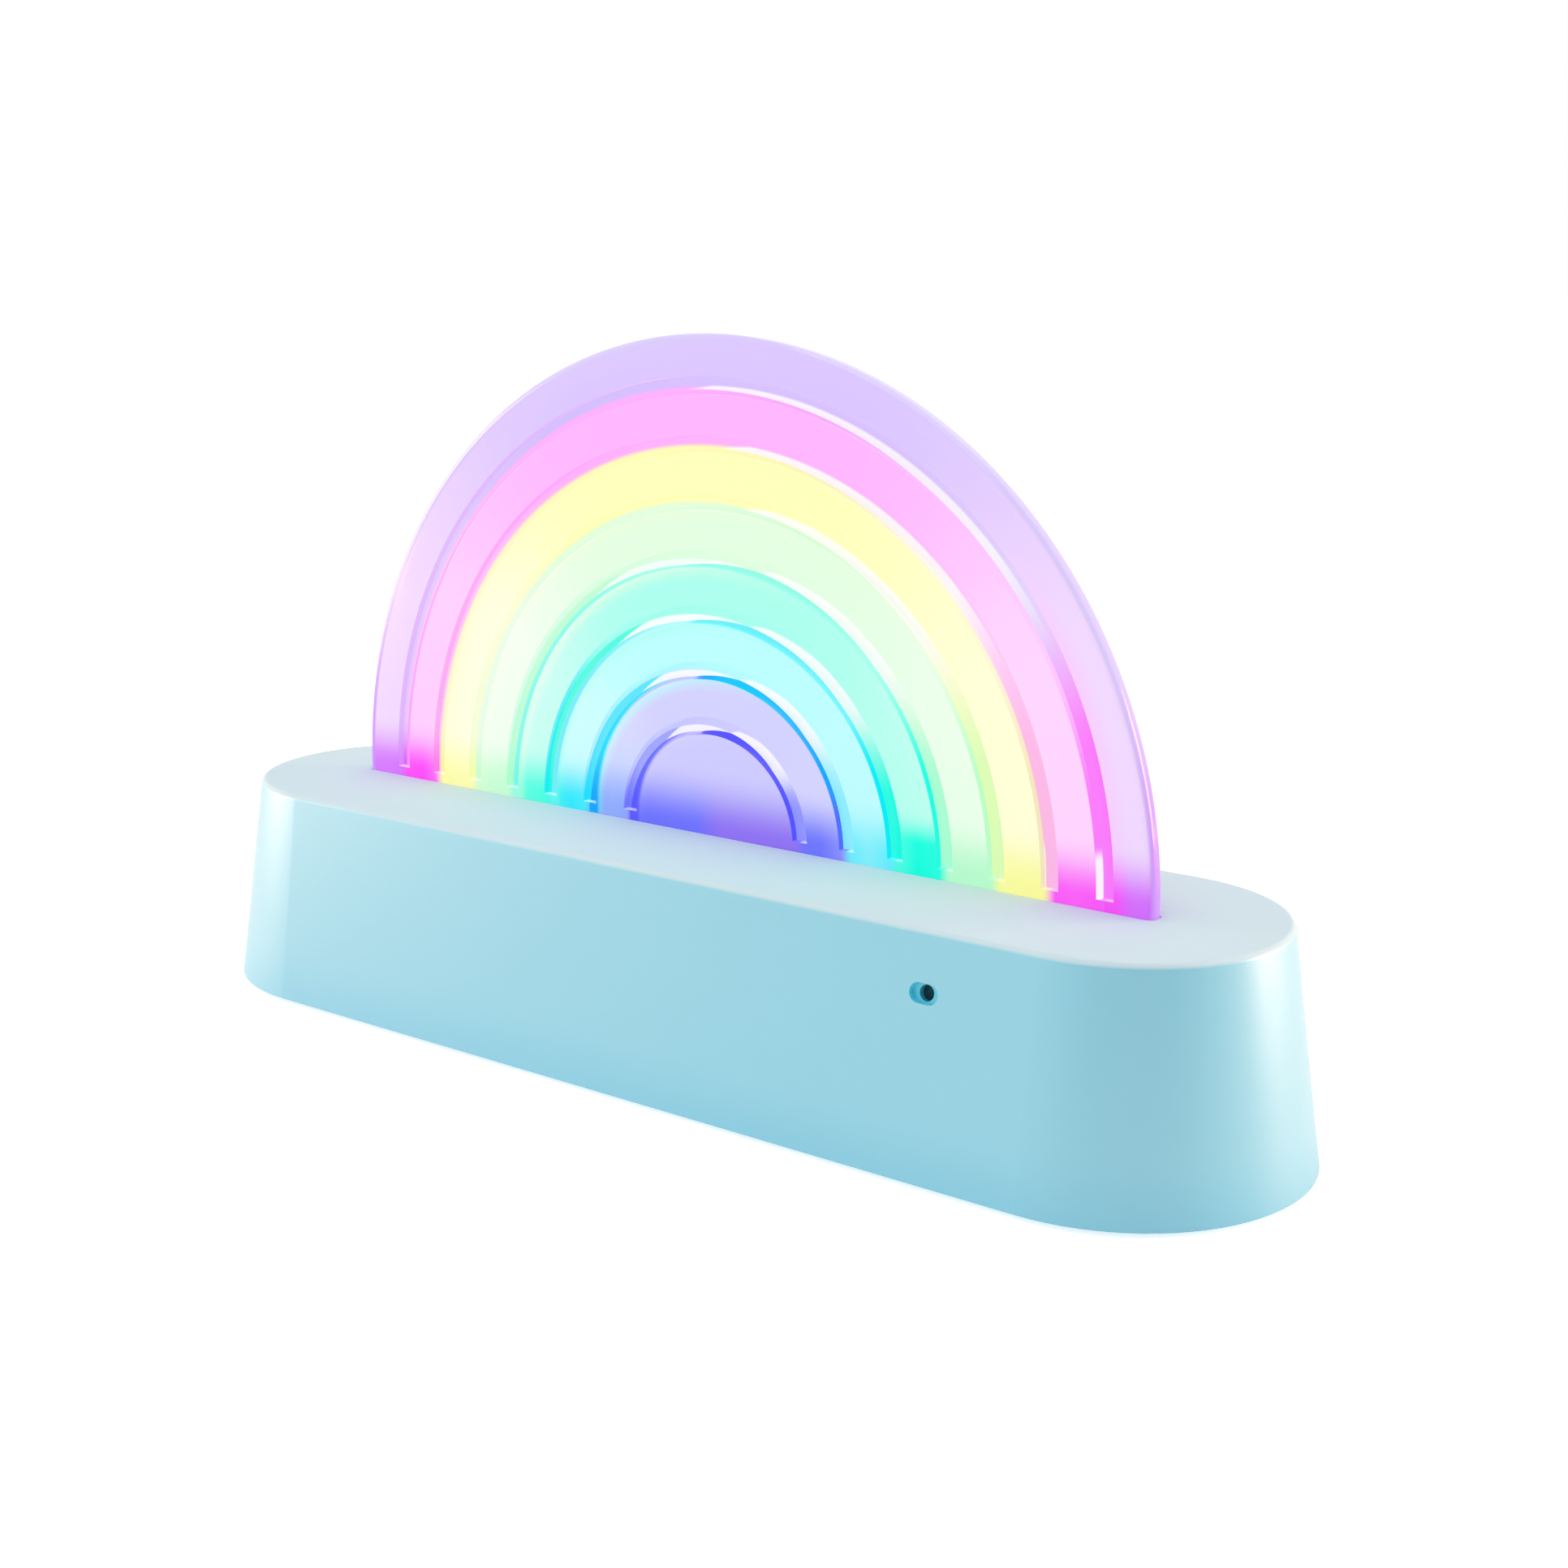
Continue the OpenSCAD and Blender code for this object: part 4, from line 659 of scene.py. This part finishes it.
def makeMouldedAbs(name, s):
    material, tree, shader = newMaterial(name, Roughness=s["roughness"], IOR=1.54, Specular_IOR_Level=1.0,
                                         Coat_Weight=s["coat"], Coat_Roughness=0.3)
    colours, smooth = {"data_type": "RGBA"}, {"interpolation_type": "SMOOTHSTEP"}
    place = addNode(tree, "TexCoord").node.outputs["Object"]
    cloud = addNode(tree, "TexNoise", {"Vector": place, "Scale": 1 / (s["cloud"] * mm), "Detail": 2})
    tone = addNode(tree, "Mix", [cloud, s["deep"], s["colour"]], **colours)
    if "topLitColour" in s:
        height = addNode(tree, "SeparateXYZ", [place]).node.outputs["Z"]
        onTop = addNode(tree, "MapRange", [height, s["topFrom"] * mm, s["topTo"] * mm], **smooth)
        # painted light: the top face is given a paler colour, as if lit from above
        tone = addNode(tree, "Mix", [onTop, tone, s["topLitColour"]], **colours)
        rough = addNode(tree, "MapRange", [onTop, 0, 1, s["roughness"], s["topRoughness"]])
        tree.links.new(rough, shader.inputs["Roughness"])
        gloss = addNode(tree, "MapRange", [onTop, 0, 1, s["coat"], 0.0])
        tree.links.new(gloss, shader.inputs["Coat Weight"])
        # painted shade, deeper towards the bottom edge of the walls
        low = addNode(tree, "MapRange", [height, s["lowFrom"] * mm, s["lowTo"] * mm, s["lowShare"], 0.0], **smooth)
        tone = addNode(tree, "Mix", [low, tone, s["lowShadeColour"]], **colours)
        fromPort = addNode(tree, "VectorMath", [place, [v * mm for v in s["port"]]], operation="DISTANCE")
        nearPort = addNode(tree, "Math", [fromPort, s["portReach"] * mm], operation="LESS_THAN")
        depth = addNode(tree, "SeparateXYZ", [place]).node.outputs["Y"]
        depth = addNode(tree, "Math", [height, -s["wallLean"], depth], operation="MULTIPLY_ADD")
        depth = addNode(tree, "Math", [depth, (s["wallFoot"] - s["wallLean"]) * mm], operation="SUBTRACT")
        # painted light in the port's recess and painted shade in its hole, set by depth into the wall
        for limits, shade in ((s["portDeep"], s["portLitColour"]), (s["holeDeep"], s["holeShadeColour"])):
            sunk = addNode(tree, "MapRange", [depth, limits[0] * mm, limits[1] * mm])
            sunk = addNode(tree, "Math", [sunk, nearPort], operation="MULTIPLY")
            tone = addNode(tree, "Mix", [sunk, tone, shade], **colours)
    tree.links.new(tone, shader.inputs["Base Color"])
    grain = addNode(tree, "TexNoise", {"Vector": place, "Scale": 1 / (s["grain"] * mm), "Detail": 1})
    bump = addNode(tree, "Bump", {"Height": grain, "Strength": 0.25, "Distance": s["grainHeight"] * mm})
    tree.links.new(bump, shader.inputs["Normal"])
    return material


dress(makeMouldedAbs("shellAbs", shellFinish), "base_shell")
coverFinish = {"colour": "#98cfdd", "deep": "#90cada", "roughness": 0.5, "coat": 0.2,
               "cloud": 1000 / 18, "grain": 0.4, "grainHeight": 0.006}
dress(makeMouldedAbs("coverAbs", coverFinish), "base_cover", "battery_door")

# The plainer finishes. Each has two tones in soft patches, a roughness that follows them, and a fine grain;
# sizes are in millimetres, and where one is drawn out along an axis the pattern is stretched that many times.
finishes = {
    # Black-grey thermoplastic rubber, moulded in a blasted tool: dry, dusty, with hardly a highlight
    "footRubber": {"colour": "#5d6164", "deep": "#4b4f52", "patch": 3.0, "rough": (0.75, 0.92), "ior": 1.52,
                   "grain": 0.25, "height": 0.02,
                   "nodes": [f"rubber_foot_{i}" for i in range(1, 5)]},
    # White ABS, moulded: satin, so that it throws the LEDs' light up into the plate
    "trayAbs": {"colour": "#f2f4f3", "deep": "#e6e9e8", "patch": 12, "rough": (0.38, 0.5), "ior": 1.54,
                "grain": 0.3, "height": 0.008, "nodes": ["light_tray", "light_comb"]},
    # Steel screws, cold headed and zinc plated: bright with a cool cast and fine turned marks
    "zincSteel": {"colour": "#d3d7da", "deep": "#aeb3b8", "patch": 1.2, "rough": (0.22, 0.4), "metal": 1.0,
                  "grain": 0.12, "height": 0.01, "drawn": (1, 1, 5),
                  "nodes": ["cover_screws", "tray_screws", "board_screws", "door_screw"]},
    # Glass-epoxy board under white solder resist, screen printed: a glossy, slightly uneven skin
    "whiteResist": {"colour": "#f0f2ec", "deep": "#e2e4da", "patch": 6, "rough": (0.25, 0.38), "ior": 1.55,
                    "grain": 0.5, "height": 0.01, "nodes": ["led_board"]},
    # LED package, moulded PPA filled with phosphor silicone: a yellowish, waxy top
    "phosphorSilicone": {"colour": "#f6efb4", "deep": "#eadf8e", "patch": 0.9, "rough": (0.3, 0.5), "ior": 1.45,
                         "grain": 0.15, "height": 0.01, "nodes": [f"led_{i}" for i in range(1, 16)]},
    # Glass-epoxy board under green solder resist: deep green, glossy, paler over the copper
    "greenResist": {"colour": "#2c7548", "deep": "#17492f", "patch": 1.6, "rough": (0.22, 0.36), "ior": 1.55,
                    "grain": 0.4, "height": 0.02, "drawn": (1, 4, 1), "nodes": ["control_board"]},
    # Black epoxy, transfer moulded round a chip: matt, with a fine sandy grain
    "chipEpoxy": {"colour": "#2b2d30", "deep": "#1c1e20", "patch": 1.5, "rough": (0.5, 0.68), "ior": 1.55,
                  "grain": 0.1, "height": 0.01, "nodes": ["main_chip", "chip_resistors"]},
    # Capacitor can in a shrunk PVC sleeve: dark and glossy, with soft pulls along it
    "shrunkPvc": {"colour": "#33425e", "deep": "#232e44", "patch": 2.5, "rough": (0.2, 0.36), "ior": 1.53,
                  "grain": 0.6, "height": 0.02, "drawn": (1, 1, 0.3), "nodes": ["smoothing_capacitor"]},
    # Nylon plug housings, moulded: milky and slightly waxy
    "socketNylon": {"colour": "#efe8d4", "deep": "#e0d7bd", "patch": 2, "rough": (0.4, 0.55), "ior": 1.53,
                    "grain": 0.2, "height": 0.01, "nodes": ["lead_sockets"]},
    # Steel sheet and wire, pressed or coiled, then nickel plated: warm bright metal with lines along the strip
    "nickelSteel": {"colour": "#d2cdc2", "deep": "#a8a296", "patch": 1.0, "rough": (0.18, 0.34), "metal": 1.0,
                    "grain": 0.1, "height": 0.008, "drawn": (0.2, 1, 1),
                    "nodes": ["slide_switch", "power_inlet", "battery_springs", "battery_contacts"]},
    # The switch's knob, white ABS, moulded: satin, a touch greyer where fingers push it
    "knobAbs": {"colour": "#f3f5f5", "deep": "#e1e4e5", "patch": 2.2, "rough": (0.34, 0.5), "ior": 1.54,
                "grain": 0.2, "height": 0.01, "nodes": ["switch_knob"]},
    # The inlet's tongue, glass-filled black plastic, moulded: matt, with a faint pale fleck
    "tonguePlastic": {"colour": "#2a2c2e", "deep": "#191b1c", "patch": 0.8, "rough": (0.42, 0.6), "ior": 1.55,
                      "grain": 0.1, "height": 0.008, "nodes": ["inlet_tongue"]},
    # Microphone, its can deep-drawn aluminium under a black felt front: what shows in the port is the felt, whose teal
    # tint is painted shade, the shell's colour in the port's shadow
    "feltFront": {"colour": "#2b6576", "deep": "#1d4e5d", "patch": 0.5, "rough": (0.85, 0.95), "ior": 1.5,
                  "grain": 0.15, "height": 0.02, "nodes": ["microphone"]},
    # Its boot, silicone, moulded: soft and dark as black rubber, with a deep teal tint that is painted shade, so that
    # the port reads as a hole
    "bootSilicone": {"colour": "#2f7485", "deep": "#225c6b", "patch": 1.5, "rough": (0.7, 0.85), "ior": 1.43,
                     "grain": 0.2, "height": 0.01, "nodes": ["microphone_boot"]},
    # PVC lead insulation, extruded: even and waxy, with faint draw lines
    "redPvc": {"colour": "#bf3228", "deep": "#9f241d", "patch": 3, "rough": (0.32, 0.46), "ior": 1.53,
               "grain": 0.2, "height": 0.006, "drawn": (0.3, 1, 1), "nodes": ["battery_lead_red"]},
    "blackPvc": {"colour": "#26282a", "deep": "#191b1d", "patch": 3, "rough": (0.32, 0.46), "ior": 1.53,
                 "grain": 0.2, "height": 0.006, "drawn": (0.3, 1, 1), "nodes": ["battery_lead_black"]},
    "whitePvc": {"colour": "#ebebe7", "deep": "#d9d9d3", "patch": 3, "rough": (0.32, 0.46), "ior": 1.53,
                 "grain": 0.2, "height": 0.006, "drawn": (0.3, 1, 1), "nodes": ["led_leads"]},
    "yellowPvc": {"colour": "#e2b436", "deep": "#c8972a", "patch": 3, "rough": (0.32, 0.46), "ior": 1.53,
                  "grain": 0.2, "height": 0.006, "drawn": (1, 0.3, 1), "nodes": ["microphone_leads"]},
}
noiseSpread = (0.32, 0.68)  # where most of a noise's values lie


def makeFinish(name, s):
    kept = {"Metallic": s["metal"]} if "metal" in s else {"IOR": s["ior"]}
    material, tree, shader = newMaterial(name, **kept)
    place = addNode(tree, "TexCoord").node.outputs["Object"]
    place = addNode(tree, "Mapping", {"Vector": place, "Scale": s.get("drawn", (1, 1, 1))})
    patches = addNode(tree, "TexNoise", {"Vector": place, "Scale": 1 / (s["patch"] * mm), "Detail": 3})
    patches = addNode(tree, "MapRange", [patches, *noiseSpread], interpolation_type="SMOOTHSTEP")
    tone = addNode(tree, "Mix", [patches, s["deep"], s["colour"]], data_type="RGBA")
    tree.links.new(tone, shader.inputs["Base Color"])
    rough = addNode(tree, "MapRange", [patches, 0, 1, s["rough"][1], s["rough"][0]])
    tree.links.new(rough, shader.inputs["Roughness"])
    grain = addNode(tree, "TexNoise", {"Vector": place, "Scale": 1 / (s["grain"] * mm), "Detail": 2})
    bump = addNode(tree, "Bump", {"Height": grain, "Strength": 0.4, "Distance": s["height"] * mm})
    tree.links.new(bump, shader.inputs["Normal"])
    return material


for name, settings in finishes.items():
    dress(makeFinish(name, settings), *settings["nodes"])
print("plain finishes given:", len(finishes))

# Dry cells in a printed PET sleeve: glossy, two plain colours, with the zinc can's bright ends left bare
cellFinish = {
    "sleeve": "#2f8f6a", "collar": "#e9edf0", "steel": "#c9ccd0",
    "collarFrom": 34.0,  # from a cell's flat end to where its sleeve changes colour
    "bareEnd": 0.5, "bareTop": 48.3,
    "flatEnds": {"battery_1": (-22.0, 1), "battery_2": (22.0, -1), "battery_3": (-22.0, 1)},  # x, and which way
    "radius": 7.15, "rim": 0.55,
    "pulls": 4, "pullSpread": (0.3, 0.7), "rough": (0.2, 0.34),
}


def makeCellSleeve(name, s):
    flatX, way = s["flatEnds"][name]
    low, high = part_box(name)
    centre = [(low[i] + high[i]) / 2 for i in range(3)]
    material, tree, shader = newMaterial(name + "Sleeve", IOR=1.57)
    place = addNode(tree, "TexCoord").node.outputs["Object"]
    x = addNode(tree, "SeparateXYZ", [place]).node.outputs["X"]
    along = addNode(tree, "Math", [x, flatX * mm], operation="SUBTRACT")
    along = addNode(tree, "Math", [along, way / mm], operation="MULTIPLY")
    collar = addNode(tree, "Math", [along, s["collarFrom"]], operation="GREATER_THAN")
    tone = addNode(tree, "Mix", [collar, s["sleeve"], s["collar"]], data_type="RGBA")
    fromAxis = addNode(tree, "VectorMath", [place, (0, centre[1], centre[2])], operation="SUBTRACT")
    fromAxis = addNode(tree, "VectorMath", [fromAxis, (0, 1, 1)], operation="MULTIPLY")
    fromAxis = addNode(tree, "VectorMath", [fromAxis], operation="LENGTH")
    onSide = addNode(tree, "Math", [fromAxis, (s["radius"] - s["rim"]) * mm], operation="GREATER_THAN")
    for limit, test in ((s["bareEnd"], "GREATER_THAN"), (s["bareTop"], "LESS_THAN")):
        test = addNode(tree, "Math", [along, limit], operation=test)
        onSide = addNode(tree, "Math", [onSide, test], operation="MULTIPLY")
    tone = addNode(tree, "Mix", [onSide, s["steel"], tone], data_type="RGBA")
    tree.links.new(tone, shader.inputs["Base Color"])
    bare = addNode(tree, "Math", [1, onSide], operation="SUBTRACT")
    tree.links.new(bare, shader.inputs["Metallic"])
    pulls = addNode(tree, "TexNoise", {"Vector": place, "Scale": 1 / (s["pulls"] * mm), "Detail": 2})
    rough = addNode(tree, "MapRange", [pulls, *s["pullSpread"], *s["rough"]])
    tree.links.new(rough, shader.inputs["Roughness"])
    return material


for name in cellFinish["flatEnds"]:
    dress(makeCellSleeve(name, cellFinish), name)
print("materials given")
